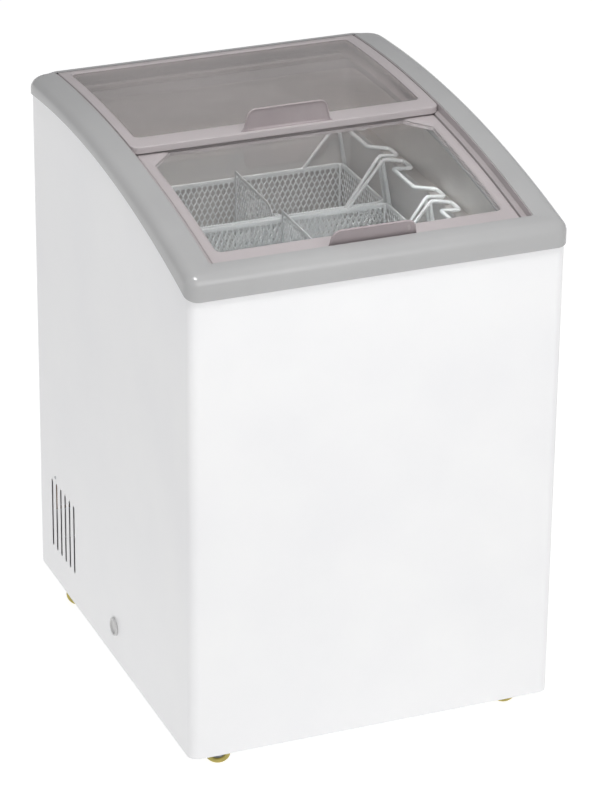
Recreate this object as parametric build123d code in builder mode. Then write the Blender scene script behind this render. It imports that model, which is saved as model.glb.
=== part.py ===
from build123d import *

import os
from math import asin, cos, radians, sin, sqrt

os.makedirs("parts", exist_ok=True)

# Curved-top ice cream freezer with two sliding glass lids.
# Millimetres. +X is the right side seen from the front, -Y the front, +Z up.
# The origin lies on the floor, under the middle of the cabinet.

# Cabinet
WIDTH = 560.0
DEPTH = 680.0
FLOOR_GAP = 28.0
SHEET = 1.0
FRONT_CORNER = 15.0
REAR_CORNER = 30.0
HALF_X = WIDTH / 2
HALF_Y = DEPTH / 2

# The lids run on arcs about one axis, parallel to X, far below the cabinet.
ARC_RADIUS = 2100.0
ARC_Y = 170.0
CROWN_Z = 832.0
ARC_Z = CROWN_Z - ARC_RADIUS

# Sides drawn on small hidden rounds
SIDES = 10

# Moulded collar
OVERHANG = 3.0
COLLAR_WALL = 2.5
SKIN = 3.0
COLLAR_X = HALF_X + OVERHANG
COLLAR_Y = HALF_Y + OVERHANG
SHOULDER = 16.0
HOLLOW_CHAMFER = 9.0
COLLAR_FRONT_CORNER = FRONT_CORNER + OVERHANG
COLLAR_REAR_CORNER = REAR_CORNER + OVERHANG
# Its lower edge, an arc drawn past both ends
LOW_REACH = COLLAR_Y + 20
LOW_REAR = (LOW_REACH, 797.5)
LOW_MIDDLE = (0.0, 804.0)
LOW_FRONT = (-LOW_REACH, 728.5)
TUCK = 8.0

# Opening in the collar and the stepped tracks in it, measured down from the crown arc
OPEN_X = 239.5
OPEN_FRONT = -311.0
OPEN_REAR = 335.0
SEAT_DROP = 26.5
THROAT_X = 213.0
THROAT_FRONT = -293.0
THROAT_REAR = 318.0
SKIRT_DROP = 44.0
UPPER_SHELF_DROP = 12.0
LOWER_SHELF_DROP = 25.0
STEP_X = 230.0
TRACK_WALL = 1.5
TRACK_X = OPEN_X - TRACK_WALL

# Lids
LID_THICK = 10.5
REAR_LID = {"half": 236.5, "front": 4.0, "rear": 332.0, "drop": 0.5}
REAR_WINDOW = {"half": 220.0, "front": 38.0, "rear": 316.0}
FRONT_LID = {"half": 228.5, "front": -309.0, "rear": 20.0, "drop": 13.5}
FRONT_WINDOW = {"half": 213.0, "front": -267.0, "rear": 8.0}
GLASS = 4.0
GLASS_DROP = 2.5
GLASS_GRIP = 6.0
GLIDER = 0.7
BRUSH_TALL = 2.1
HANDLE_BASE = 134.0
HANDLE_TOP = 104.0
HANDLE_TALL = 28.0
HANDLE_THICK = 3.0
HANDLE_LAP = 6.0
HANDLE_SETBACK = 5.0
HANDLE_CORNER = 14.0
HANDLE_RIM = 3.0
HANDLE_SCOOP = 1.2

# Ribs under the collar
RIB_PLACES = (-230.0, -70.0, 90.0, 250.0)
RIB_THICK = 2.5
RIB_SHOULDER_X = 266.0
RIB_OUTER_X = 277.0
RIB_SHOULDER_FALL = 12.0
RIB_CLEAR = 0.35

# Tank
LINER = 1.0
LIP = 8.0
UPPER_X = 226.0
UPPER_FRONT = -292.0
UPPER_REAR = 298.0
LOWER_X = 206.0
LOWER_FRONT = -265.0
LOWER_REAR = 274.0
LEDGE_Z = 706.0
TANK_FLOOR_Z = 112.0
HUMP_Z = 285.0
HUMP_Y = 95.0
HUMP_SLOPE = 40.0
TANK_CORNER = 20.0

# Machine bay, low at the rear
BAY_Y = 115.0
BAY_TOP = 230.0
PAN_Z = 46.0
PAN_SHEET = 1.5
VENT_FRONT = 160.0
VENT_PITCH = 20.0
VENT_COUNT = 6
VENT_WIDE = 7.0
VENT_LOW = 82.0
VENT_HIGH = 195.0

# Rear of the cabinet
REAR_OPEN_X = 236.0
HEM = 3.0
BACK_X = 248.0
BACK_TOP = 806.0
COVER_X = 246.0
COVER_LOW = 40.0
COVER_HIGH = 226.0
COVER_SHEET = 1.2
COVER_SLOT = 150.0
COVER_SLOT_WIDE = 6.0
COVER_SLOT_PITCH = 21.0
COVER_ROWS = 6
POCKET = 52.0
POCKET_DEEP = 15.0
KNOB_X = 200.0
KNOB_Z = 176.0
KNOB_R = 17.0
SPINDLE_R = 3.0
GLAND_X = 200.0
GLAND_Z = 80.0
GLAND_R = 9.0
CORD_R = 3.6
THERMOSTAT_WIDE = 44.0
THERMOSTAT_TALL = 36.0
THERMOSTAT_DEEP = 28.0
KNOB_DEEP = 7.0
KNOB_BAR = 7.0
KNOB_BAR_TALL = 4.0

# Drain
DRAIN_Y = -21.0
DRAIN_Z = 82.0
DRAIN_X = -150.0
PIPE_R = 8.0
PIPE_BORE_R = 6.5
PLUG_R = 14.0
PLUG_GAP = 0.1
PLUG_HEAD = 5.5
PLUG_SPIGOT = 14.0

# Cooling circuit
COMPRESSOR_X = 110.0
COMPRESSOR_Y = 225.0
SHELL_R = 72.0
SHELL_SIDES = 20
SHELL_TOP_CHAMFER = 26.0
SHELL_LOW_CHAMFER = 20.0
SHELL_LOW = 54.0
SHELL_HIGH = 206.0
FEET_Z = 60.0
FEET_X = 88.0
FEET_Y = 44.0
FEET_SHEET = 3.0
FOOT_WIDE = 26.0
FOOT_PAST = 14.0
RELAY_WIDE = 40.0
RELAY_DEEP = 56.0
RELAY_TALL = 50.0
RELAY_LOW = 99.0
RELAY_OUT = 8.0
RELAY_FORWARD = 16.0
GROMMET_R = 11.0
DRIER_X = -200.0
COIL_R = 4.0
COIL_LEVELS = (330.0, 420.0, 510.0, 600.0)
COIL_GAP_X = 40.0
SKIN_R = 2.5
SKIN_CORNER = 12.0
SKIN_LEVELS = (300.0, 380.0, 460.0)
SKIN_REAR_Y = 250.0
SKIN_FRONT_Y = -290.0
SKIN_END_Z = 150.0
LINE_Z = 110.0
DRIER_R = 9.0
DRIER_LONG = 80.0
CAPILLARY_R = 1.2

# Baskets
BASKET_LONG = 400.0
BASKET_WIDE = 168.0
BASKET_PITCH = 172.0
BASKET_REAR_Y = 186.0
RIM_Z = 644.0
RIM_TALL = 12.0
BASKET_DEEP = 190.0
STRIP = 2.0
MESH = 1.2
WIRE_R = 2.5
HOOK_Y = 72.0
HOOK_WIDE = 12.0
HOOK_REACH = 219.5
HOOK_GAP = 0.1
BRACE = 60.0
MESH_BAR = 5.0
MESH_LONG_COUNT = 5
MESH_END_COUNT = 2
WIRE_SIDES = 6
BRACE_R = 1.5
BASKET_CORNER = 9.0
CORNER_IN = 2.9
DIVIDER_DEEP = 178.0
DIVIDER_RISE = 12.0
DIVIDER_ROUND = 40.0
DIVIDER_SHEET = 1.5
DIVIDER_LIP = 14.0

# Castors
WHEEL_R = 19.0
WHEEL_WIDE = 16.0
TRAIL = 16.0
CASTOR_X = 242.0
CASTOR_FRONT_Y = -302.0
CASTOR_REAR_Y = 205.0
CASTOR_TURN = radians(22.3)
WHEEL_GAP = 0.5
AXLE_R = 3.0
AXLE_GAP = 0.08
CHEEK = 1.5
WHEEL_SIDES = 32
CROWN_LOW = 39.5
CROWN_REACH = 13.0
KINGPIN_R = 4.0
SWIVEL_GAP = 0.08
CASTOR_GAP = 0.1
HEAD_R = 6.0
HEAD_TALL = 2.4
BEARING_R = 13.0
BEARING_TALL = 2.9
PLATE_SIZE = 42.0
PLATE_SHEET = 2.0


def arc_point(y, drop):
    """Point in the side view, on the arc that lies the given drop inside the crown arc."""
    turn = asin((y - ARC_Y) / ARC_RADIUS)
    radius = ARC_RADIUS - drop
    return (ARC_Y + radius * sin(turn), ARC_Z + radius * cos(turn))


def arc_z(y, drop):
    """Height of the arc with this drop straight above y."""
    return ARC_Z + sqrt((ARC_RADIUS - drop) ** 2 - (y - ARC_Y) ** 2)


def arc_band(front, rear, drop_high, drop_low):
    """Side-view strip between two arcs, its ends square to them."""
    middle = (front + rear) / 2
    with BuildSketch() as band:
        with BuildLine():
            ThreePointArc(
                arc_point(front, drop_high),
                arc_point(middle, drop_high),
                arc_point(rear, drop_high),
            )
            Line(arc_point(rear, drop_high), arc_point(rear, drop_low))
            ThreePointArc(
                arc_point(rear, drop_low),
                arc_point(middle, drop_low),
                arc_point(front, drop_low),
            )
            Line(arc_point(front, drop_low), arc_point(front, drop_high))
        make_face()
    return band.sketch_local


def low_edge_face(raise_by, bottom):
    """Side view of everything between a bottom and the collar's lower edge, raised as asked."""
    rear, middle, front = [(y, z + raise_by) for y, z in (LOW_REAR, LOW_MIDDLE, LOW_FRONT)]
    with BuildSketch() as face:
        with BuildLine():
            ThreePointArc(front, middle, rear)
            Polyline(rear, (LOW_REACH, bottom), (-LOW_REACH, bottom), front)
        make_face()
    return face.sketch_local


def plan_rectangle(half_x, front, rear, front_radius, rear_radius, corner=fillet):
    """Plan-view rectangle with its own corner size at the front and at the rear."""
    with BuildSketch() as plan:
        with Locations((0, (front + rear) / 2)):
            Rectangle(2 * half_x, rear - front)
        by_y = plan.vertices().group_by(Axis.Y)
        if front_radius:
            corner(by_y[0], front_radius)
        by_y = plan.vertices().group_by(Axis.Y)
        if rear_radius:
            corner(by_y[-1], rear_radius)
    return plan.sketch_local


def inside_plan(inset):
    """Plan of the space inside the outer wrap, smaller all round by the inset."""
    wall = SHEET + inset
    return plan_rectangle(
        HALF_X - wall, -HALF_Y + wall, HALF_Y - wall, FRONT_CORNER - wall, REAR_CORNER - wall
    )


def cut_rectangle(middle, half_x, half_y, cut):
    """Rectangle about a middle on the Y axis, with its corners cut off."""
    with BuildSketch() as plan:
        with BuildLine():
            Polyline(
                (half_x, middle - half_y + cut),
                (half_x, middle + half_y - cut),
                (half_x - cut, middle + half_y),
                (-half_x + cut, middle + half_y),
                (-half_x, middle + half_y - cut),
                (-half_x, middle - half_y + cut),
                (-half_x + cut, middle - half_y),
                (half_x - cut, middle - half_y),
                close=True,
            )
        make_face()
    return plan.sketch_local


def yz_polygon(*points):
    """Filled outline in the side view."""
    with BuildSketch() as outline:
        with BuildLine():
            Polyline(*points, close=True)
        make_face()
    return outline.sketch_local


def above_arc(drop):
    """Side view of everything above the arc with this drop."""
    return arc_band(-HALF_Y - 60, HALF_Y + 60, -200, drop)


def save(piece, name):
    """Label a finished piece and write it under its node name."""
    piece.part.label = name
    export_step(piece.part, f"parts/{name}.step")


# Collar: one moulding with a rounded shoulder, a hollow underside,
# the lid opening, a seat for the tracks and a skirt down into the tank.
def collar_blank(inset):
    """Crowned block, smaller all round by the inset, with its shoulders still square."""
    with BuildPart() as blank:
        with BuildSketch(Plane.YZ):
            add(arc_band(-COLLAR_Y - 60, COLLAR_Y + 60, inset, 200))
        extrude(amount=COLLAR_X + 20, both=True)
        with BuildSketch(Plane.XY.offset(600)):
            add(
                plan_rectangle(
                    COLLAR_X - inset,
                    -COLLAR_Y + inset,
                    COLLAR_Y - inset,
                    COLLAR_FRONT_CORNER - inset,
                    COLLAR_REAR_CORNER - inset,
                )
            )
        extrude(amount=300, mode=Mode.INTERSECT)
    return blank.part


# The hollow is chamfered under the rounded shoulder, so that the skin stays even
with BuildPart() as collar_hollow:
    add(collar_blank(COLLAR_WALL))
    chamfer(collar_hollow.faces().sort_by(Axis.Z)[-1].edges(), HOLLOW_CHAMFER)

with BuildPart() as collar:
    add(collar_blank(0))
    fillet(collar.faces().sort_by(Axis.Z)[-1].edges(), SHOULDER)
    with BuildSketch(Plane.YZ):
        add(low_edge_face(0, 500))
    extrude(amount=COLLAR_X + 20, both=True, mode=Mode.SUBTRACT)
    add(collar_hollow.part, mode=Mode.SUBTRACT)
    with BuildSketch(Plane.XY.offset(600)):
        add(plan_rectangle(OPEN_X + SKIN, OPEN_FRONT - SKIN, OPEN_REAR + SKIN, 3, 3))
    extrude(amount=300, mode=Mode.SUBTRACT)

with BuildPart() as collar_seat:
    with BuildSketch(Plane.YZ):
        add(arc_band(OPEN_FRONT - 40, OPEN_REAR + 40, 0, SEAT_DROP + SKIN))
    extrude(amount=OPEN_X + SKIN, both=True)
    with BuildSketch(Plane.XY.offset(600)):
        add(plan_rectangle(OPEN_X + SKIN, OPEN_FRONT - SKIN, OPEN_REAR + SKIN, 3, 3))
    extrude(amount=300, mode=Mode.INTERSECT)
    with BuildSketch(Plane.YZ):
        add(arc_band(OPEN_FRONT, OPEN_REAR, -20, SEAT_DROP))
    extrude(amount=OPEN_X, both=True, mode=Mode.SUBTRACT)
    with BuildSketch(Plane.XY.offset(600)):
        add(plan_rectangle(THROAT_X, THROAT_FRONT, THROAT_REAR, 8, 8))
    extrude(amount=300, mode=Mode.SUBTRACT)

with BuildPart() as collar_skirt:
    with BuildSketch(Plane.XY.offset(600)):
        add(plan_rectangle(UPPER_X, UPPER_FRONT, UPPER_REAR, TANK_CORNER, TANK_CORNER))
        offset(amount=-SKIN, mode=Mode.SUBTRACT)
    extrude(amount=300)
    with BuildSketch(Plane.YZ):
        add(arc_band(UPPER_FRONT - 20, UPPER_REAR + 20, SEAT_DROP + SKIN, SKIRT_DROP))
    extrude(amount=UPPER_X, both=True, mode=Mode.INTERSECT)

with BuildPart() as collar_frame:
    add(collar.part)
    add(collar_seat.part)
    add(collar_skirt.part)
    # Ribs across the hollow underside, which stand on the tank's flange
    for side in (-1, 1):
        for rib_y in RIB_PLACES:
            with BuildSketch(Plane.XZ.offset(-rib_y)):
                rib_top = arc_z(rib_y, COLLAR_WALL)
                rib_foot = arc_z(rib_y, SEAT_DROP + SKIN) + RIB_CLEAR
                with BuildLine():
                    Polyline(
                        (side * OPEN_X, rib_top),
                        (side * RIB_SHOULDER_X, rib_top),
                        (side * RIB_OUTER_X, rib_top - RIB_SHOULDER_FALL),
                        (side * RIB_OUTER_X, rib_foot),
                        (side * OPEN_X, rib_foot),
                        close=True,
                    )
                make_face()
            extrude(amount=RIB_THICK / 2, both=True)
save(collar_frame, "collar_frame")


# Tracks: a stepped extrusion each side. The rear lid rides on the upper shelf,
# the front lid on the lower floor.
def track(side):
    """One two-level track, bent to the lids' arc."""
    strips = (
        (STEP_X, TRACK_X, UPPER_SHELF_DROP, UPPER_SHELF_DROP + TRACK_WALL),
        (STEP_X, STEP_X + TRACK_WALL, UPPER_SHELF_DROP, SEAT_DROP),
        (THROAT_X, STEP_X + TRACK_WALL, LOWER_SHELF_DROP, SEAT_DROP),
        (TRACK_X, OPEN_X, 1.0, UPPER_SHELF_DROP + TRACK_WALL),
    )
    with BuildPart() as rail:
        for inner, outer, high, low in strips:
            start = inner if side > 0 else -outer
            with BuildSketch(Plane.YZ.offset(start)):
                add(arc_band(OPEN_FRONT + 1, OPEN_REAR - 1, high, low))
            extrude(amount=outer - inner)
    return rail


save(track(-1), "left_track")
save(track(1), "right_track")


# Lids: curved frame, glass in its groove, brush seal, gliders and a raised hand grip
def lid_plan(window, corner):
    """Plan of a lid's window."""
    return plan_rectangle(
        window["half"], window["front"], window["rear"], corner, corner
    )


def lid_frame(lid, window, gusset):
    """Curved frame with a window, a glass groove and a hand grip on its front bar."""
    drop = lid["drop"]
    glass_top = drop + GLASS_DROP - 0.5
    with BuildPart() as frame:
        with BuildSketch(Plane.YZ):
            add(arc_band(lid["front"], lid["rear"], drop, drop + LID_THICK))
        extrude(amount=lid["half"], both=True)
        with BuildSketch(Plane.XY.offset(600)):
            add(plan_rectangle(lid["half"], lid["front"] - 8, lid["rear"] + 8, 12, 4))
        extrude(amount=300, mode=Mode.INTERSECT)
        with BuildSketch(Plane.XY.offset(600)):
            add(lid_plan(window, 9))
            if gusset:
                for side in (-1, 1):
                    with BuildLine():
                        Polyline(
                            (side * (window["half"] + 1), window["rear"] + 1),
                            (side * (window["half"] - gusset), window["rear"] + 1),
                            (side * (window["half"] + 1), window["rear"] - gusset),
                            close=True,
                        )
                    make_face(mode=Mode.SUBTRACT)
        extrude(amount=300, mode=Mode.SUBTRACT)
        with BuildSketch(Plane.YZ):
            add(
                arc_band(
                    window["front"] - GLASS_GRIP,
                    window["rear"] + GLASS_GRIP,
                    glass_top,
                    glass_top + GLASS,
                )
            )
        extrude(amount=window["half"] + GLASS_GRIP, both=True, mode=Mode.SUBTRACT)
        grip_y, grip_z = arc_point(lid["front"] + HANDLE_SETBACK, drop)
        lean = asin((grip_y - ARC_Y) / (ARC_RADIUS - drop))
        grip_plane = Plane(
            origin=(0, grip_y, grip_z), x_dir=(1, 0, 0), z_dir=(0, -cos(lean), sin(lean))
        )
        with BuildSketch(grip_plane) as grip:
            with BuildLine():
                Polyline(
                    (-HANDLE_BASE / 2, -HANDLE_LAP),
                    (HANDLE_BASE / 2, -HANDLE_LAP),
                    (HANDLE_BASE / 2, 0),
                    (HANDLE_TOP / 2, HANDLE_TALL),
                    (-HANDLE_TOP / 2, HANDLE_TALL),
                    (-HANDLE_BASE / 2, 0),
                    close=True,
                )
            make_face()
            fillet(grip.vertices().group_by(Axis.Y)[-1], HANDLE_CORNER)
        extrude(amount=HANDLE_THICK / 2, both=True)
        with BuildSketch(grip_plane.offset(HANDLE_THICK / 2)) as scoop:
            with BuildLine():
                Polyline(
                    (-HANDLE_BASE / 2 + HANDLE_RIM, HANDLE_RIM),
                    (HANDLE_BASE / 2 - HANDLE_RIM, HANDLE_RIM),
                    (HANDLE_TOP / 2 - HANDLE_RIM, HANDLE_TALL - HANDLE_RIM),
                    (-HANDLE_TOP / 2 + HANDLE_RIM, HANDLE_TALL - HANDLE_RIM),
                    close=True,
                )
            make_face()
            fillet(scoop.vertices().group_by(Axis.Y)[-1], HANDLE_CORNER - HANDLE_RIM)
        extrude(amount=-HANDLE_SCOOP, mode=Mode.SUBTRACT)
    return frame


def lid_glass(lid, window):
    """Bent pane, held in the frame's groove all round."""
    top = lid["drop"] + GLASS_DROP - 0.5
    with BuildPart() as pane:
        with BuildSketch(Plane.YZ):
            add(
                arc_band(
                    window["front"] - GLASS_GRIP + 0.5,
                    window["rear"] + GLASS_GRIP - 0.5,
                    top,
                    top + GLASS,
                )
            )
        extrude(amount=window["half"] + GLASS_GRIP - 0.5, both=True)
    return pane


def lid_gliders(lid, window, outer):
    """Four low nylon pads under the side bars."""
    drop = lid["drop"] + LID_THICK
    length = lid["rear"] - lid["front"]
    with BuildPart() as pads:
        for side in (-1, 1):
            inner = outer - 5
            start = inner if side > 0 else -outer
            for share in (0.12, 0.88):
                middle = lid["front"] + share * length
                with BuildSketch(Plane.YZ.offset(start)):
                    add(arc_band(middle - 15, middle + 15, drop, drop + GLIDER))
                extrude(amount=5)
    return pads


save(lid_frame(REAR_LID, REAR_WINDOW, 0), "rear_lid_frame")
save(lid_glass(REAR_LID, REAR_WINDOW), "rear_lid_glass")
save(lid_gliders(REAR_LID, REAR_WINDOW, REAR_LID["half"] - 0.5), "rear_lid_gliders")
save(lid_frame(FRONT_LID, FRONT_WINDOW, 34), "front_lid_frame")
save(lid_glass(FRONT_LID, FRONT_WINDOW), "front_lid_glass")
save(lid_gliders(FRONT_LID, FRONT_WINDOW, FRONT_LID["half"] - 1), "front_lid_gliders")

# Brush strip under the rear lid's front bar, which sweeps the front lid
with BuildPart() as lid_brush:
    with BuildSketch(Plane.YZ):
        brush_drop = REAR_LID["drop"] + LID_THICK
        add(arc_band(REAR_LID["front"] + 4, REAR_LID["front"] + 10, brush_drop, brush_drop + BRUSH_TALL))
    extrude(amount=FRONT_LID["half"] - 4, both=True)
save(lid_brush, "rear_lid_brush")


# Tank liner: wide at the top, a ledge all round for the baskets,
# a narrower well below and a hump at the rear over the machine bay.
def tank_solid(grow, top_drop, corner=fillet, corner_size=TANK_CORNER):
    """Space inside the tank, or the liner's outer shape when grown by its thickness."""
    round_by = corner_size + grow
    with BuildPart() as space:
        with BuildSketch(Plane.XY.offset(LEDGE_Z - grow)):
            add(
                plan_rectangle(
                    UPPER_X + grow,
                    UPPER_FRONT - grow,
                    UPPER_REAR + grow,
                    round_by,
                    round_by,
                    corner,
                )
            )
        extrude(amount=200)
        with BuildSketch(Plane.XY.offset(TANK_FLOOR_Z - grow)):
            add(
                plan_rectangle(
                    LOWER_X + grow,
                    LOWER_FRONT - grow,
                    LOWER_REAR + grow,
                    round_by,
                    round_by,
                    corner,
                )
            )
        extrude(amount=LEDGE_Z - TANK_FLOOR_Z)
        with BuildSketch(Plane.YZ):
            with BuildLine():
                Polyline(
                    (HUMP_Y + grow, 0),
                    (HUMP_Y + grow, HUMP_Z - HUMP_SLOPE - grow),
                    (HUMP_Y + grow + HUMP_SLOPE, HUMP_Z - grow),
                    (LOWER_REAR + 50, HUMP_Z - grow),
                    (LOWER_REAR + 50, 0),
                    close=True,
                )
            make_face()
        extrude(amount=300, both=True, mode=Mode.SUBTRACT)
        with BuildSketch(Plane.YZ):
            add(arc_band(-HALF_Y - 60, HALF_Y + 60, -200, top_drop))
        extrude(amount=300, both=True, mode=Mode.SUBTRACT)
    return space.part


FLANGE_DROP = SEAT_DROP + SKIN

LEDGE_LOW = LEDGE_Z - LINER

# Upper liner: the flange under the collar, the upper walls and the ledge for the baskets
with BuildPart() as upper_liner:
    add(tank_solid(LINER, FLANGE_DROP))
    with BuildSketch(Plane.YZ):
        add(arc_band(-HALF_Y - 20, HALF_Y + 20, FLANGE_DROP, FLANGE_DROP + LINER))
    extrude(amount=HALF_X - SHEET - 1, both=True)
    with BuildSketch(Plane.XY.offset(LEDGE_LOW)):
        add(inside_plan(1))
    extrude(amount=300, mode=Mode.INTERSECT)
    add(tank_solid(0, FLANGE_DROP - 5), mode=Mode.SUBTRACT)
save(upper_liner, "upper_liner")

# Well: the lower walls, floor and hump, with a lip turned out under the ledge
with BuildPart() as tank_well:
    add(tank_solid(LINER, FLANGE_DROP))
    with BuildSketch(Plane.XY.offset(LEDGE_LOW)):
        add(inside_plan(1))
    extrude(amount=300, mode=Mode.SUBTRACT)
    with BuildSketch(Plane.XY.offset(LEDGE_LOW - LINER)) as lip:
        add(
            plan_rectangle(
                LOWER_X + LIP, LOWER_FRONT - LIP, LOWER_REAR + LIP, TANK_CORNER, TANK_CORNER
            )
        )
    extrude(amount=LINER)
    add(tank_solid(0, FLANGE_DROP - 5), mode=Mode.SUBTRACT)
    with BuildSketch(Plane.XY.offset(TANK_FLOOR_Z - LINER)):
        with Locations((DRAIN_X, DRAIN_Y)):
            RegularPolygon(PIPE_BORE_R, SIDES)
    extrude(amount=LINER, mode=Mode.SUBTRACT)
save(tank_well, "tank_well")


# Outer wrap: one sheet bent round the front and both sides, with the rear edges turned
# in, a narrow hem below, air slots into the machine bay and a hole for the drain.
with BuildPart() as outer_wrap:
    with BuildSketch(Plane.XY.offset(FLOOR_GAP)):
        add(inside_plan(-SHEET))
        add(inside_plan(0), mode=Mode.SUBTRACT)
    extrude(amount=900)
    with BuildSketch(Plane.XY.offset(FLOOR_GAP)):
        add(inside_plan(-SHEET))
        add(inside_plan(HEM - SHEET), mode=Mode.SUBTRACT)
    extrude(amount=SHEET)
    with BuildSketch(Plane.YZ):
        add(low_edge_face(TUCK, 0))
    extrude(amount=HALF_X, both=True, mode=Mode.INTERSECT)
    with BuildSketch(Plane.XZ.offset(-HALF_Y + 10)):
        with Locations((0, 500)):
            Rectangle(2 * REAR_OPEN_X, 1000)
    extrude(amount=-20, mode=Mode.SUBTRACT)
    vent_middle = (VENT_LOW + VENT_HIGH) / 2
    vent_centre = VENT_FRONT + VENT_PITCH * (VENT_COUNT - 1) / 2
    with BuildSketch(Plane.YZ):
        with Locations((vent_centre, vent_middle)):
            with GridLocations(VENT_PITCH, 1, VENT_COUNT, 1):
                Rectangle(VENT_WIDE, VENT_HIGH - VENT_LOW)
    extrude(amount=HALF_X + 5, both=True, mode=Mode.SUBTRACT)
    with BuildSketch(Plane.YZ.offset(-HALF_X)):
        with Locations((DRAIN_Y, DRAIN_Z)):
            Circle(PIPE_R + 0.1)
    extrude(amount=SHEET, mode=Mode.SUBTRACT)
save(outer_wrap, "outer_wrap")

# Base pan, which closes the cabinet below
with BuildPart() as base_pan:
    with BuildSketch(Plane.XY.offset(PAN_Z)):
        add(inside_plan(0))
    extrude(amount=PAN_SHEET)
save(base_pan, "base_pan")

PAN_TOP = PAN_Z + PAN_SHEET
SHIELD_REAR = HALF_Y - 2 * SHEET

# Shield between the machine bay and the insulation
with BuildPart() as bay_shield:
    with BuildSketch(Plane.YZ):
        add(
            yz_polygon(
                (BAY_Y, PAN_TOP),
                (BAY_Y + SHEET, PAN_TOP),
                (BAY_Y + SHEET, BAY_TOP),
                (SHIELD_REAR, BAY_TOP),
                (SHIELD_REAR, BAY_TOP + SHEET),
                (BAY_Y, BAY_TOP + SHEET),
            )
        )
    extrude(amount=HALF_X, both=True)
    with BuildSketch(Plane.XY):
        add(inside_plan(0))
    extrude(amount=400, mode=Mode.INTERSECT)
    with BuildSketch(Plane.XY.offset(BAY_TOP)):
        with Locations((COIL_GAP_X, LOWER_REAR + LINER + COIL_R)):
            RegularPolygon(COIL_R + 0.5, SIDES)
        for side in (-1, 1):
            with Locations((side * (HALF_X - SHEET - SKIN_R), SKIN_REAR_Y)):
                Rectangle(2 * SKIN_R, 2 * SKIN_R + 1)
    extrude(amount=SHEET, mode=Mode.SUBTRACT)
save(bay_shield, "bay_shield")

# Back panel, inside the turned-in rear edges of the wrap
with BuildPart() as back_panel:
    with BuildSketch(Plane.XZ.offset(-SHIELD_REAR)):
        with Locations((0, (BAY_TOP + BACK_TOP) / 2)):
            Rectangle(2 * BACK_X, BACK_TOP - BAY_TOP)
    extrude(amount=-SHEET)
save(back_panel, "back_panel")

# Insulation: fills the walls, with channels for the cooling tubes and the drain
FOAM_CUT = 0.55 * TANK_CORNER
coil_channel = COIL_R + 0.5
channel_grow = 2 * LINER + 4 * coil_channel
with BuildPart() as foam_insulation:
    with BuildSketch(Plane.XY.offset(PAN_TOP)):
        add(inside_plan(0))
        with Locations((0, SHIELD_REAR + 50)):
            Rectangle(2 * HALF_X, 100, mode=Mode.SUBTRACT)
    extrude(amount=900)
    with BuildSketch(Plane.YZ):
        add(above_arc(FLANGE_DROP + LINER))
    extrude(amount=300, both=True, mode=Mode.SUBTRACT)
    add(tank_solid(LINER, FLANGE_DROP - 5, chamfer, FOAM_CUT), mode=Mode.SUBTRACT)
    add(lip.sketch)
    extrude(amount=LINER, mode=Mode.SUBTRACT)
    with BuildSketch(Plane.YZ):
        add(
            yz_polygon(
                (BAY_Y, 0),
                (HALF_Y, 0),
                (HALF_Y, BAY_TOP + SHEET),
                (BAY_Y, BAY_TOP + SHEET),
            )
        )
    extrude(amount=300, both=True, mode=Mode.SUBTRACT)
    with BuildSketch(Plane.XY.offset(COIL_LEVELS[0] - coil_channel)):
        with Locations((0, (LOWER_FRONT + LOWER_REAR) / 2)):
            Rectangle(2 * LOWER_X + channel_grow, LOWER_REAR - LOWER_FRONT + channel_grow)
    extrude(
        amount=COIL_LEVELS[-1] - COIL_LEVELS[0] + 2 * coil_channel, mode=Mode.SUBTRACT
    )
    with BuildSketch(Plane.XY.offset(BAY_TOP)):
        with Locations((0, LOWER_REAR + LINER + COIL_R)):
            Rectangle(2 * COIL_GAP_X + 30, 2 * coil_channel)
    extrude(amount=COIL_LEVELS[-1] - BAY_TOP + coil_channel, mode=Mode.SUBTRACT)
    skin_deep = 2 * SKIN_R + 1
    with BuildSketch(Plane.XY.offset(SKIN_LEVELS[-1] - skin_deep)):
        add(inside_plan(0))
        add(
            cut_rectangle(0, HALF_X - SHEET - skin_deep, HALF_Y - SHEET - skin_deep, SKIN_CORNER),
            mode=Mode.SUBTRACT,
        )
        with Locations((0, HALF_Y)):
            Rectangle(3 * HALF_X, 2 * (HALF_Y - SKIN_REAR_Y - skin_deep), mode=Mode.SUBTRACT)
    extrude(amount=2 * skin_deep, mode=Mode.SUBTRACT)
    for side in (-1, 1):
        middle_x = side * (HALF_X - SHEET - skin_deep / 2)
        with BuildSketch(Plane.XY.offset(SKIN_LEVELS[0] - skin_deep)):
            with Locations((middle_x, (SKIN_FRONT_Y + SKIN_REAR_Y) / 2)):
                Rectangle(skin_deep, SKIN_REAR_Y - SKIN_FRONT_Y + 2 * skin_deep)
        extrude(amount=SKIN_LEVELS[-1] - SKIN_LEVELS[0] + skin_deep, mode=Mode.SUBTRACT)
        with BuildSketch(Plane.XY.offset(BAY_TOP)):
            with Locations((middle_x, SKIN_REAR_Y)):
                Rectangle(skin_deep, 2 * skin_deep)
        extrude(amount=SKIN_LEVELS[0] - BAY_TOP, mode=Mode.SUBTRACT)
    drain_wide = 2 * PIPE_R + 2
    with BuildSketch(Plane.YZ.offset(-HALF_X)):
        with Locations((DRAIN_Y, DRAIN_Z)):
            Rectangle(drain_wide, drain_wide)
    extrude(amount=HALF_X + DRAIN_X + PIPE_R + 1, mode=Mode.SUBTRACT)
    with BuildSketch(Plane.XY.offset(DRAIN_Z)):
        with Locations((DRAIN_X, DRAIN_Y)):
            Rectangle(drain_wide, drain_wide)
    extrude(amount=TANK_FLOOR_Z - DRAIN_Z, mode=Mode.SUBTRACT)
save(foam_insulation, "foam_insulation")


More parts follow.
